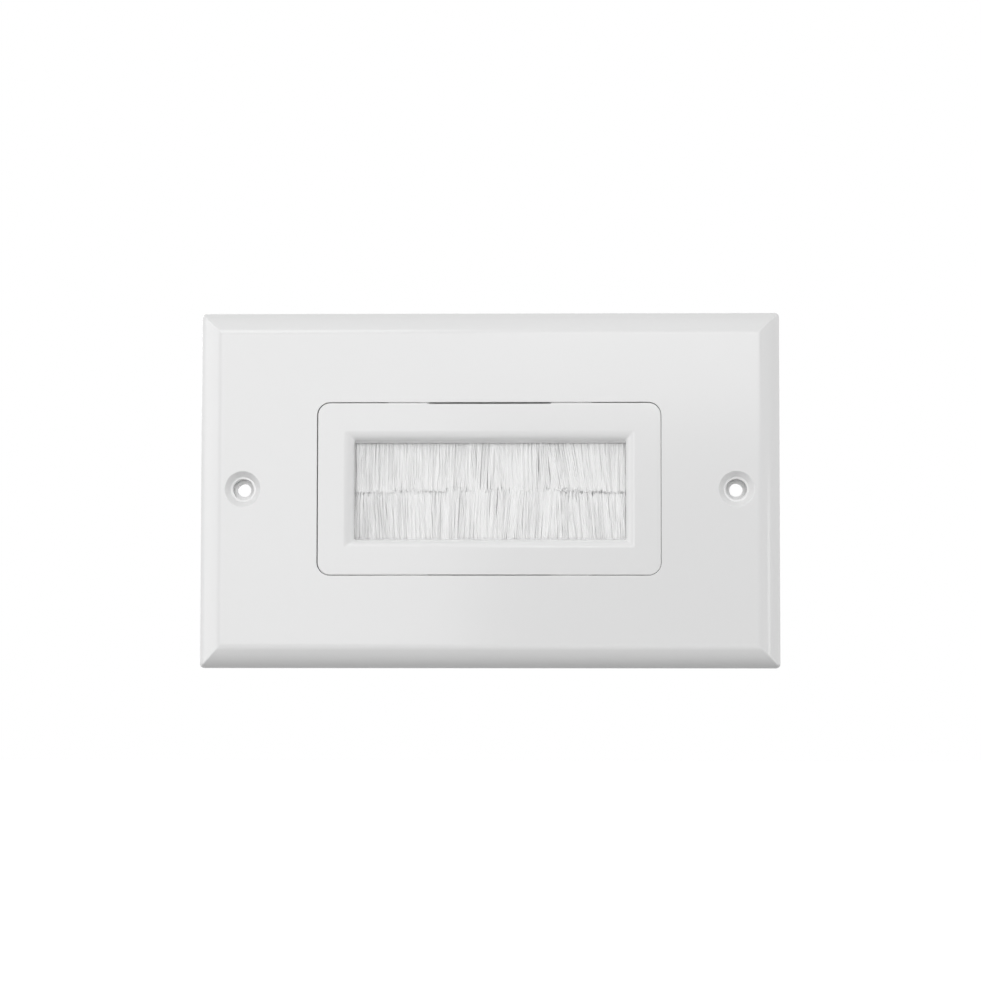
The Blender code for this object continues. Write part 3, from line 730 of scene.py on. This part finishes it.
def gusset(sideX, sideZ):
    # a triangle between the strap and the end of the skirt
    n = insert
    near = n["halfX"] - bite
    far = n["halfX"] + n["gussetReach"]
    back = level["strapBack"]
    foot = level["skirtBack"] + bite
    outline = [(near, back + bite), (far, back + bite), (far, back - bite), (near, foot)]
    start = sideZ * n["gussetZ"] - n["rib"] / 2
    rings = [[(sideX * x, -height, z) for x, height in outline] for z in (start, start + n["rib"])]
    return skin("gusset", rings)


def insertChamber():
    n = insert
    outline = roundRect(n["chamberX"], n["chamberZ"], n["chamberCorner"], 5)
    return prism("chamber", outline, level["skirtBack"] - over, level["chamber"])


def stripSeat(sideX, sideZ):
    n = insert
    return block("seat", (sideX * n["seatX"], sideX * (n["chamberX"] + bite)),
                 (level["bossFoot"], level["chamber"] + bite),
                 (sideZ * n["seatZ"], sideZ * (n["seatZ"] - 2 * n["rib"])))


def windowFunnel():
    # the window's shallow rounded entry, over walls that draw in, most of all at the top
    n = insert
    top = level["insertFace"]
    radius = n["funnelRadius"]
    turn = math.radians(n["funnelTurn"])
    throat = top - radius * (1 - math.cos(turn))
    corners = [(0.0, level["chamber"] - over, 0.0)]
    for step in range(13):
        angle = turn * (1 - step / 12)
        height = top - radius * (1 - math.cos(angle))
        corners.append((1 - math.sin(angle) / math.sin(turn), height, 0.0 if step else n["funnelLip"] / 2))
    corners.append((1.3, top + proud, 0.0))    # past the mouth
    sections = []
    for share, height in softened(corners, 4):
        below = max(throat - height, 0.0)
        halfX = n["windowX"] + share * (n["mouthX"] - n["windowX"]) - below * n["draftSide"]
        halfZ = n["windowZ"] + share * (n["mouthZ"] - n["windowZ"])
        halfZ -= below * (n["draftTop"] + n["draftBottom"]) / 2
        x, z = [shift * (1 - share) for shift in n["windowShift"]]
        z -= below * (n["draftTop"] - n["draftBottom"]) / 2
        sections.append((height, roundRect(halfX, halfZ, n["windowCorner"], 4, (x, z))))
    return loft("funnel", sections)


def edgeRelief(side, depth):
    # the insert's long edge stands back a little over the snap tongue
    n = insert
    half = n["reliefHalf"]
    wide = half + n["reliefRamp"]
    outer = n["halfZ"]
    outline = [(wide, outer + over), (-wide, outer + over), (-wide, outer),
               (-half, outer - depth), (half, outer - depth), (wide, outer)]
    outline = [(x, side * z) for x, z in outline]
    return prism("relief", outline, n["reliefFoot"], level["insertFace"] + over)


def strapHoles(side):
    n = insert
    top = level["strapFront"]
    bottom = level["strapBack"]
    soft = n["holeEdge"]
    past = over / 2
    pilot = [(bottom - over, n["pilot"]), (top - soft, n["pilot"]), (top, n["pilot"] + soft),
             (top + past, n["pilot"] + soft + past)]
    place = (side * n["pilotX"], 0)
    holes = [loft("pilot", [(height, circle(radius, 40, place)) for height, radius in pilot])]
    slot = []
    middle = (side * n["slotX"], 0)
    for height, flare in ((bottom - over, 0.0), (top - soft, 0.0), (top + past, soft + past)):
        halfWidth = n["slotHalfWidth"] + flare
        halfLength = n["slotHalfLength"] + flare
        # a radius just under the half width keeps the ends' points apart
        slot.append((height, roundRect(halfWidth, halfLength, halfWidth * 0.99, 10, middle)))
    holes.append(loft("slot", slot))
    return holes


def cornersOf(halfX, halfZ):
    return [(sideX * halfX, sideZ * halfZ) for sideX in (1, -1) for sideZ in (1, -1)]


def buildInsert():
    n = insert
    body = insertBlock()
    barbs = [tongueBarb(side) for side in (1, -1)]
    gussets = [gusset(*sides) for sides in cornersOf(1, 1)]
    join(body, strapBody(), *barbs, *gussets)
    cut(body, insertChamber())
    bosses = []
    pilots = []
    foot = level["bossFoot"]
    for place in cornersOf(n["bossX"], n["bossZ"]):
        bosses.append(prism("boss", circle(n["boss"], 40, place), foot, level["chamber"] + bite))
        pilots.append(prism("pilot", circle(n["screwHole"], 24, place), foot - over, n["screwHoleEnd"]))
    join(body, *bosses, *[stripSeat(*sides) for sides in cornersOf(1, 1)])
    reliefs = [edgeRelief(1, n["reliefTop"]), edgeRelief(-1, n["reliefBottom"])]
    cut(body, windowFunnel(), *reliefs, *strapHoles(1), *strapHoles(-1), *pilots)
    finishPiece(body, insertPlastic, "insert_plastic", "insert_body")


buildInsert()


# Bristles

brush = {
    "filaments": 5000, "halfX": 27.1, "halfDepth": 1.22, "root": 14.1, "radius": 0.105,
    "points": 5, "tipTaper": 0.35,
    "legs": (0.42, 1.18),    # how far the two legs stand from the core wire's plane
    # clumps: their width, what makes it uneven, and how they gather, lean and stand out of line
    "layers": 5, "layerShift": 1.37, "pitch": 2.1, "warp": 3.4, "warpScale": 260.0,
    "gather": 0.22, "clumpLean": 0.22, "loose": 0.3, "leanRange": 3.0, "leanSpread": 0.03,
    # single filaments: the row's long waver, strays, bow and the bulge of both faces
    "waver": 1.2, "waverScale": 90.0, "stray": 0.9, "bow": 0.25, "bulge": 0.22, "bulgeSpread": 0.18,
    # tips: the clump's share in their unevenness, and how much shorter the front ones are
    "clumpRagged": 0.45, "frontShort": 0.35,
    # the places along X between which one look passes into the next, and three such looks; one of these
    # places fades out the painted shade at the left end
    "lapLeft": (-11.5, -9.5), "lapRight": (12.5, 15.5), "leftEnd": (-19.5, -16.5),
    "paintedShadeEnd": (-21.5, -17.0), "lapPastEnd": 0.5, "trim": (0.55, 1.15), "tones": (0.35, 1.0),
    # the hidden row: the width of its locks, how far they come forward and how far its foremost
    # tips end below the front row's, both as multiples of its lap
    "lock": 0.26, "lockReach": 3.6, "hiddenShort": (2.0, 16.0),
}
rows = {
    # the upper row laps in front of the lower one at both ends of the window
    # lean: how far the tips stand along X from their roots, by place across the row
    "upper": {"facing": -1.0, "tip": -0.92, "lap": 0.18, "seed": 3, "ragged": 0.90, "lean": (
        (-1.0, 0.3), (-0.95, 0.1), (-0.78, -0.4), (-0.52, 0.0), (-0.26, -0.5), (0.0, -0.3), (0.09, 0.7),
        (0.2, 1.1), (0.28, 0.2), (0.42, 1.7), (0.54, 2.2), (0.68, 1.6), (0.8, 1.6), (0.93, 0.1),
        (1.0, 0.0))},
    "lower": {"facing": 1.0, "tip": 0.60, "lap": -0.15, "seed": 8, "ragged": 0.75, "lean": (
        (-1.0, 0.1), (-0.93, -0.4), (-0.78, -0.5), (-0.58, -0.3), (-0.44, -0.8), (-0.35, 0.0), (-0.2, 0.7),
        (0.0, 0.5), (0.13, 1.0), (0.25, 0.6), (0.37, 1.1), (0.48, 0.0), (0.58, -0.4), (0.68, -1.5),
        (0.8, -1.1), (0.9, -0.6), (1.0, -0.1))},
}


def bristleTree(name, row):
    b = brush
    tree = bpy.data.node_groups.new(name, "GeometryNodeTree")
    entry, leave = openSockets(
        tree,
        [("Filaments", "Int", 100), ("Seed", "Int", 0), ("Half Width", "Float", 0.02),
         ("Half Depth", "Float", 0.001), ("Height", "Float", 0.0), ("Root", "Float", 0.01),
         ("Tip", "Float", 0.0), ("Ragged", "Float", 0.0005), ("Facing", "Float", 1.0),
         ("Pitch", "Float", 0.002), ("Lap", "Float", 0.0),
         ("Radius", "Float", 0.0001), ("Material", "Material", None)],
        [("Geometry", "Geometry")])
    draws = [0]

    def dice(low, high, ident=None):
        # each draw has its own seed, so the order of the draws is part of the look
        draws[0] += 1
        seed = calc(tree, "ADD", entry["Seed"], float(draws[0] * 17))
        node = addNode(tree, "FunctionNodeRandomValue", {2: low, 3: high, 8: seed})
        if ident is not None:
            plug(tree, ident, node.inputs[7])
        return node.outputs[1]

    def waves(value, scale, shift):
        turned = calc(tree, "MULTIPLY_ADD", value, scale, shift)
        turned = calc(tree, "MULTIPLY_ADD", entry["Seed"], 7.3, turned)
        inputs = {"W": turned, "Scale": 1.0, "Detail": 1.0}
        bumps = result(tree, "ShaderNodeTexNoise", inputs, noise_dimensions="1D")
        return calc(tree, "SUBTRACT", bumps, 0.5)

    def times(one, two):
        return calc(tree, "MULTIPLY", one, two)

    def plusTimes(base, value, factor):
        return calc(tree, "MULTIPLY_ADD", value, factor, base)

    def lean(span):
        # the row's own lean, as a smooth curve through its points
        widest = b["leanRange"]
        node = addNode(tree, "ShaderNodeFloatCurve", {"Value": remap(tree, span, -1.0, 1.0)})
        curve = node.mapping.curves[0]
        stops = [((at + 1) / 2, (shift / widest + 1) / 2) for at, shift in row["lean"]]
        for point, stop in zip((curve.points[0], curve.points[-1]), (stops[0], stops[-1])):
            point.location = stop
        for stop in stops[1:-1]:
            curve.points.new(*stop)
        node.mapping.update()
        return remap(tree, node.outputs[0], 0.0, 1.0, -widest * mm, widest * mm)

    points = result(tree, "GeometryNodePoints", {"Count": entry["Filaments"]})
    index = result(tree, "GeometryNodeInputIndex")
    place = calc(tree, "DIVIDE", calc(tree, "ADD", index, dice(0.0, 1.0)), entry["Filaments"])
    span = calc(tree, "MULTIPLY_ADD", place, 2.0, -1.0)
    rootX = times(span, entry["Half Width"])

    def passing(places, before, after, curve="LINEAR"):
        # from one value to the other between two places along the row
        start, end = b[places]
        return remap(tree, rootX, start * mm, end * mm, before, after, curve)

    # each layer has its own clumps of uneven width, which pull together a little and lean;
    # the bare offsets keep layers, clumps and locks apart
    deep = dice(-1.0, 1.0)
    layer = calc(tree, "FLOOR", calc(tree, "MULTIPLY_ADD", deep, b["layers"] / 2, b["layers"] / 2))
    warped = plusTimes(rootX, waves(plusTimes(rootX, layer, 0.31), b["warpScale"], 3.1), b["warp"] * mm)
    cell = calc(tree, "DIVIDE", plusTimes(warped, layer, b["layerShift"] * mm), entry["Pitch"])
    clump = plusTimes(calc(tree, "FLOOR", cell), layer, 64.0)
    inside = calc(tree, "SUBTRACT", calc(tree, "FRACT", cell), 0.5)
    pull = calc(tree, "POWER", dice(0.0, 1.0, clump), 2.0)
    toMiddle = times(times(inside, entry["Pitch"]), pull)
    tipX = plusTimes(rootX, toMiddle, -b["gather"])
    tipX = plusTimes(tipX, dice(-1.0, 1.0, clump), b["clumpLean"] * mm)
    tipX = plusTimes(tipX, waves(rootX, b["waverScale"], 9.7), b["waver"] * mm)
    own = dice(-1.0, 1.0)
    stray = times(own, calc(tree, "POWER", calc(tree, "ABSOLUTE", own), 3.0))
    tipX = plusTimes(tipX, stray, b["stray"] * mm)
    tipX = calc(tree, "ADD", tipX, lean(plusTimes(span, dice(-1.0, 1.0, clump), b["leanSpread"])))

    # two legs pass the core wire, then spread over the whole depth
    side = calc(tree, "SIGN", deep)
    rootY = times(side, dice(b["legs"][0] * mm, b["legs"][1] * mm))
    outer = times(side, calc(tree, "POWER", calc(tree, "ABSOLUTE", deep), 0.4))
    deepTip = times(outer, entry["Half Depth"])
    lapLeft = passing("lapLeft", 1.0, 0.0, "SMOOTHSTEP")
    lapLeft = times(lapLeft, passing("leftEnd", 1.0, b["lapPastEnd"]))
    lapRight = passing("lapRight", 0.0, 1.0, "SMOOTHSTEP")
    lapped = calc(tree, "MAXIMUM", lapLeft, lapRight)
    backwards = times(entry["Lap"], -1.0)
    front = times(lapped, backwards)
    far = b["loose"] * mm
    loose = times(calc(tree, "SUBTRACT", 1.0, lapped), dice(-far, far, clump))
    tipY = calc(tree, "ADD", calc(tree, "ADD", deepTip, front), loose)
    # behind the front row's tips some of the other row's come forward in fine locks
    lock = plusTimes(calc(tree, "FLOOR", calc(tree, "DIVIDE", warped, b["lock"] * mm)), layer, 512.0)
    forward = calc(tree, "POWER", dice(0.0, 1.0, lock), 3.0)
    hidden = times(lapped, calc(tree, "MAXIMUM", backwards, 0.0))
    tipY = plusTimes(tipY, times(forward, hidden), -b["lockReach"])

    uneven = calc(tree, "POWER", dice(0.0, 1.0), 1.4)
    # the tips of the left end are trimmed straighter
    trim = times(entry["Ragged"], passing("leftEnd", *b["trim"]))
    short = times(trim, plusTimes(uneven, dice(0.0, 1.0, clump), b["clumpRagged"]))
    short = plusTimes(short, remap(tree, deep, -1.0, 0.2, 1.0, 0.0), b["frontShort"] * mm)
    # the foremost of the hidden row end below the front row's tips, which leaves a shaded band
    foremost = times(hidden, remap(tree, deep, -0.9, -0.15, 1.0, 0.0))
    short = calc(tree, "ADD", short, times(foremost, dice(*b["hiddenShort"])))
    tipZ = calc(tree, "SUBTRACT", times(entry["Tip"], entry["Facing"]), short)
    tipZ = times(tipZ, entry["Facing"])
    rootZ = times(times(entry["Root"], entry["Facing"]), -1.0)

    baseY = times(entry["Height"], -1.0)
    root = vector(tree, rootX, calc(tree, "ADD", baseY, rootY), rootZ)
    tip = vector(tree, tipX, calc(tree, "ADD", baseY, tipY), tipZ)
    # both faces of the brush bulge where it leaves its channel
    far = b["bulgeSpread"] * mm
    bulge = calc(tree, "MULTIPLY_ADD", outer, b["bulge"] * mm, dice(-far, far))
    bow = vector(tree, dice(-b["bow"] * mm, b["bow"] * mm), bulge, 0.0)
    points = keep(tree, points, "rootPlace", root, "FLOAT_VECTOR")
    points = keep(tree, points, "tipPlace", tip, "FLOAT_VECTOR")
    points = keep(tree, points, "bow", bow, "FLOAT_VECTOR")
    # painted shade: the filaments of the left end take the darker of the two nylon colours
    toneAndShade = times(dice(*b["tones"]), passing("paintedShadeEnd", 0.0, 1.0, "SMOOTHSTEP"))
    points = keep(tree, points, "toneAndShade", toneAndShade)

    tubes = filamentTubes(tree, points, entry["Radius"])
    done = result(tree, "GeometryNodeSetMaterial", {"Geometry": tubes, "Material": entry["Material"]})
    plug(tree, done, leave["Geometry"])
    return tree


def filamentTubes(tree, points, radius):
    # one tapered tube from each point's root to its tip, bowed on the way
    line = result(tree, "GeometryNodeCurvePrimitiveLine", {"Start": (0, 0, 0), "End": (0, 0, 0.01)})
    line = result(tree, "GeometryNodeResampleCurve", {"Curve": line, "Count": brush["points"]})
    spread = result(tree, "GeometryNodeInstanceOnPoints", {"Points": points, "Instance": line})
    real = result(tree, "GeometryNodeRealizeInstances", {0: spread})
    share = addNode(tree, "GeometryNodeSplineParameter").outputs["Factor"]
    real = keep(tree, real, "share", share)

    def scaled(name, factor):
        return vectorCalc(tree, "SCALE", {0: recall(tree, name, "FLOAT_VECTOR"), "Scale": factor})

    part = recall(tree, "share")
    rest = calc(tree, "SUBTRACT", 1.0, part)
    arch = calc(tree, "SINE", calc(tree, "MULTIPLY", part, math.pi))
    shape = vectorCalc(tree, "ADD", {0: scaled("rootPlace", rest), 1: scaled("tipPlace", part)})
    shape = vectorCalc(tree, "ADD", {0: shape, 1: scaled("bow", arch)})
    real = result(tree, "GeometryNodeSetPosition", {"Geometry": real, "Position": shape})
    taper = calc(tree, "MULTIPLY", calc(tree, "POWER", part, 8.0), brush["tipTaper"])
    thick = calc(tree, "SUBTRACT", 1.0, taper)
    real = result(tree, "GeometryNodeSetCurveRadius", {"Curve": real, "Radius": thick})
    ring = result(tree, "GeometryNodeCurvePrimitiveCircle", {"Resolution": 4, "Radius": radius})
    ring = result(tree, "GeometryNodeTransform", {"Geometry": ring, "Rotation": (0, 0, math.pi / 4)})
    sweep = {"Curve": real, "Profile Curve": ring, "Fill Caps": True}
    tubes = result(tree, "GeometryNodeCurveToMesh", sweep)
    flat = result(tree, "GeometryNodeSetShadeSmooth", {"Geometry": tubes, "Shade Smooth": False})
    return result(tree, "GeometryNodeRealizeInstances", {0: flat})


def setInputs(modifier, values):
    for item in modifier.node_group.interface.items_tree:
        if item.item_type == "SOCKET" and item.in_out == "INPUT" and item.name in values:
            modifier[item.identifier] = values[item.name]


def buildBristles():
    for name, row in rows.items():
        tree = bristleTree(name + "Row", row)
        item = newObject(name + "Filaments", bpy.data.meshes.new(name + "Filaments"))
        modifier = item.modifiers.new("bristles", "NODES")
        modifier.node_group = tree
        setInputs(modifier, {
            "Filaments": brush["filaments"], "Seed": row["seed"], "Half Width": brush["halfX"] * mm,
            "Half Depth": brush["halfDepth"] * mm, "Height": level["brush"] * mm,
            "Root": brush["root"] * mm, "Tip": row["tip"] * mm, "Ragged": row["ragged"] * mm,
            "Facing": row["facing"], "Pitch": brush["pitch"] * mm, "Lap": row["lap"] * mm,
            "Radius": brush["radius"] * mm, "Material": nylon})
        bake(item)
        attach(item, "root")
        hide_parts(name + "_bristles")
        print("stage:", item.name, len(item.data.polygons), "faces")


buildBristles()


# Folded channels and the core wires in them

strip = {
    "halfX": 28.05, "mouth": 10.5, "base": 15.0, "wall": 0.4, "fold": 0.6, "burr": 0.06,
    "wireRadius": 0.35, "wireZ": 13.35,
}


def channelSection(side):
    # (height, z) round the folded sheet, open towards the middle of the window
    s = strip
    back = level["channelBack"]
    front = level["channelFront"]
    inner = s["fold"] - s["wall"]
    corners = [
        (front, s["mouth"], 0.0), (front, s["base"], s["fold"]), (back, s["base"], s["fold"]),
        (back, s["mouth"], s["burr"]), (back + s["wall"], s["mouth"], s["burr"]),
        (back + s["wall"], s["base"] - s["wall"], inner),
        (front - s["wall"], s["base"] - s["wall"], inner),
        (front - s["wall"], s["mouth"], 0.0)]
    return [(height, side * z) for height, z in softened(corners, 5)]


def buildStrips():
    s = strip
    for name, side in (("upper", 1), ("lower", -1)):
        channel = along(name + "Channel", channelSection(side), -s["halfX"], s["halfX"])
        finishPiece(channel, zincSteel, "zinc_steel", name + "_brush_channel")
        wire = rod(name + "Wire", s["wireRadius"], (level["brush"], side * s["wireZ"]),
                   -s["halfX"], s["halfX"], 24)
        finishPiece(wire, zincSteel, "zinc_steel", name + "_core_wire")


buildStrips()


# Rear retainer

retainer = {
    "halfX": 31.85, "halfZ": 15.0, "corner": 0.8, "windowX": 27.45, "windowZ": 10.8, "windowCorner": 0.6,
    "soft": 0.22, "faceRing": 1.0, "ribHalf": 27.35, "ribNear": 12.6, "ribFar": 13.8, "ribBack": -3.1,
    "ribDraft": 0.1, "ribSoft": 0.2, "hole": 1.2, "holeEdge": 0.1,
}


def retainerRib(side):
    r = retainer
    foot = level["retainerBack"] + bite
    near, far = sorted((side * r["ribNear"], side * r["ribFar"]))
    corners = [(foot, near, 0.0), (r["ribBack"], near + r["ribDraft"], r["ribSoft"]),
               (r["ribBack"], far - r["ribDraft"], r["ribSoft"]), (foot, far, 0.0)]
    return along("rib", softened(corners, 4), -r["ribHalf"], r["ribHalf"])


def buildRetainer():
    r = retainer
    back = level["retainerBack"]
    front = level["retainerFront"]
    soft = r["soft"]
    ring = r["faceRing"]
    corners = [(ring, back, 0.0), (0.0, back, soft), (0.0, front, soft), (ring, front, 0.0)]
    body = moulding("rearRetainer", r, softened(corners, 4), 5)
    join(body, retainerRib(1), retainerRib(-1))
    window = []
    flares = ((back - over, over + soft), (back, soft), (back + soft, 0.0), (front + over, 0.0))
    for height, flare in flares:
        window.append((height, roundRect(
            r["windowX"] + flare, r["windowZ"] + flare, r["windowCorner"] + flare, 6)))
    hole = r["hole"]
    edge = r["holeEdge"]
    profile = ((back - over, hole + over + edge), (back, hole + edge), (back + edge, hole),
               (front + over, hole))
    holes = []
    for place in cornersOf(insert["bossX"], insert["bossZ"]):
        holes.append(loft("hole", [(height, circle(radius, 32, place)) for height, radius in profile]))
    cut(body, loft("window", window), *holes)
    finishPiece(body, retainerPlastic, "retainer_plastic", "rear_retainer")


buildRetainer()


# Retainer screws

screw = {
    "head": 1.5, "headHeight": 1.3, "crown": 0.78, "crownSoft": 0.5, "shoulder": 0.35,
    "shoulderSoft": 0.35, "seatSoft": 0.08, "shank": 0.9, "core": 0.68, "length": 5.0, "point": 1.2,
    "blunt": 0.08, "pitch": 0.8, "crestSlope": 5.0, "recess": 0.95, "blade": 0.24, "recessDepth": 0.8,
    "recessFoot": (0.45, 0.6), "recessFlare": (0.1, 0.03), "seed": 5,
}


def screwThread():
    # the shank as rings whose radius follows a coarse self-tapping thread
    k = screw
    steps = 24
    count = int(k["length"] / k["pitch"] * 8)
    rings = []
    for ring in range(count + 1):
        depth = k["length"] * ring / count
        taper = min(1.0, (k["length"] - depth) / k["point"])
        points = []
        for step in range(steps):
            angle = math.tau * step / steps
            phase = (depth / k["pitch"] - step / steps) % 1.0
            crest = max(0.0, 1.0 - abs(phase - 0.5) * k["crestSlope"])
            radius = (k["core"] + (k["shank"] - k["core"]) * crest) * max(taper, k["blunt"])
            points.append((radius * math.cos(angle), -depth, radius * math.sin(angle)))
        rings.append(points)
    return skin("thread", rings)


def crossOutline(reach, half):
    corner = [(reach, -half), (reach, half), (half, half)]
    points = []
    for quarter in range(4):
        turn = Matrix.Rotation(quarter * math.pi / 2, 2)
        points += [tuple(turn @ Vector(point)) for point in corner]
    return points


def screwMesh():
    # head behind, point towards the room, seat at height 0
    k = screw
    top = -k["headHeight"]
    corners = [(0.02, top, 0.0), (k["crown"] * k["head"], top, k["crownSoft"]),
               (k["head"], k["shoulder"] * top, k["shoulderSoft"]), (k["head"], 0.0, k["seatSoft"]),
               (0.5, 0.0, 0.0)]
    head = loft("screwHead", [(height, circle(radius, 40)) for radius, height in softened(corners, 5)])
    join(head, screwThread())
    wider, thicker = k["recessFlare"]
    reach, half = k["recessFoot"]
    recess = loft("recess", [
        (top - 0.3, crossOutline(k["recess"] + wider, k["blade"] + thicker)),
        (top, crossOutline(k["recess"], k["blade"])),
        (top + k["recessDepth"], crossOutline(reach * k["recess"], half * k["blade"]))])
    cut(head, recess)
    mesh = head.data
    bpy.data.objects.remove(head)
    return mesh


def fastenerTree():
    # the object's own mesh on each of the four bosses, each turned by its own angle
    tree = bpy.data.node_groups.new("fastenerSet", "GeometryNodeTree")
    entry, leave = openSockets(
        tree,
        [("Geometry", "Geometry", None), ("Span X", "Float", 0.01), ("Span Z", "Float", 0.01),
         ("Height", "Float", 0.0), ("Seed", "Int", 0), ("Material", "Material", None)],
        [("Geometry", "Geometry")])
    grid = result(tree, "GeometryNodeMeshGrid", {
        "Size X": entry["Span X"], "Size Y": entry["Span Z"], "Vertices X": 2, "Vertices Y": 2})
    depth = calc(tree, "MULTIPLY", entry["Height"], -1.0)
    upright = result(tree, "GeometryNodeTransform", {
        "Geometry": grid, "Translation": vector(tree, 0.0, depth, 0.0), "Rotation": (math.pi / 2, 0, 0)})
    angle = addNode(tree, "FunctionNodeRandomValue", {2: 0.0, 3: math.pi / 2, 8: entry["Seed"]}).outputs[1]
    spread = result(tree, "GeometryNodeInstanceOnPoints", {
        "Points": upright, "Instance": entry["Geometry"], "Rotation": vector(tree, 0.0, angle, 0.0)})
    real = result(tree, "GeometryNodeRealizeInstances", {0: spread})
    done = result(tree, "GeometryNodeSetMaterial", {"Geometry": real, "Material": entry["Material"]})
    plug(tree, done, leave["Geometry"])
    return tree


def buildScrews():
    item = newObject("retainerScrews", screwMesh())
    modifier = item.modifiers.new("fasteners", "NODES")
    modifier.node_group = fastenerTree()
    setInputs(modifier, {
        "Span X": 2 * insert["bossX"] * mm, "Span Z": 2 * insert["bossZ"] * mm,
        "Height": level["screwSeat"] * mm, "Seed": screw["seed"], "Material": zincSteel})
    bake(item)
    names = ["retainer_screw_%d" % number for number in range(1, 5)]
    finishPiece(item, zincSteel, "zinc_steel", *names, smooth=40.0)


buildScrews()
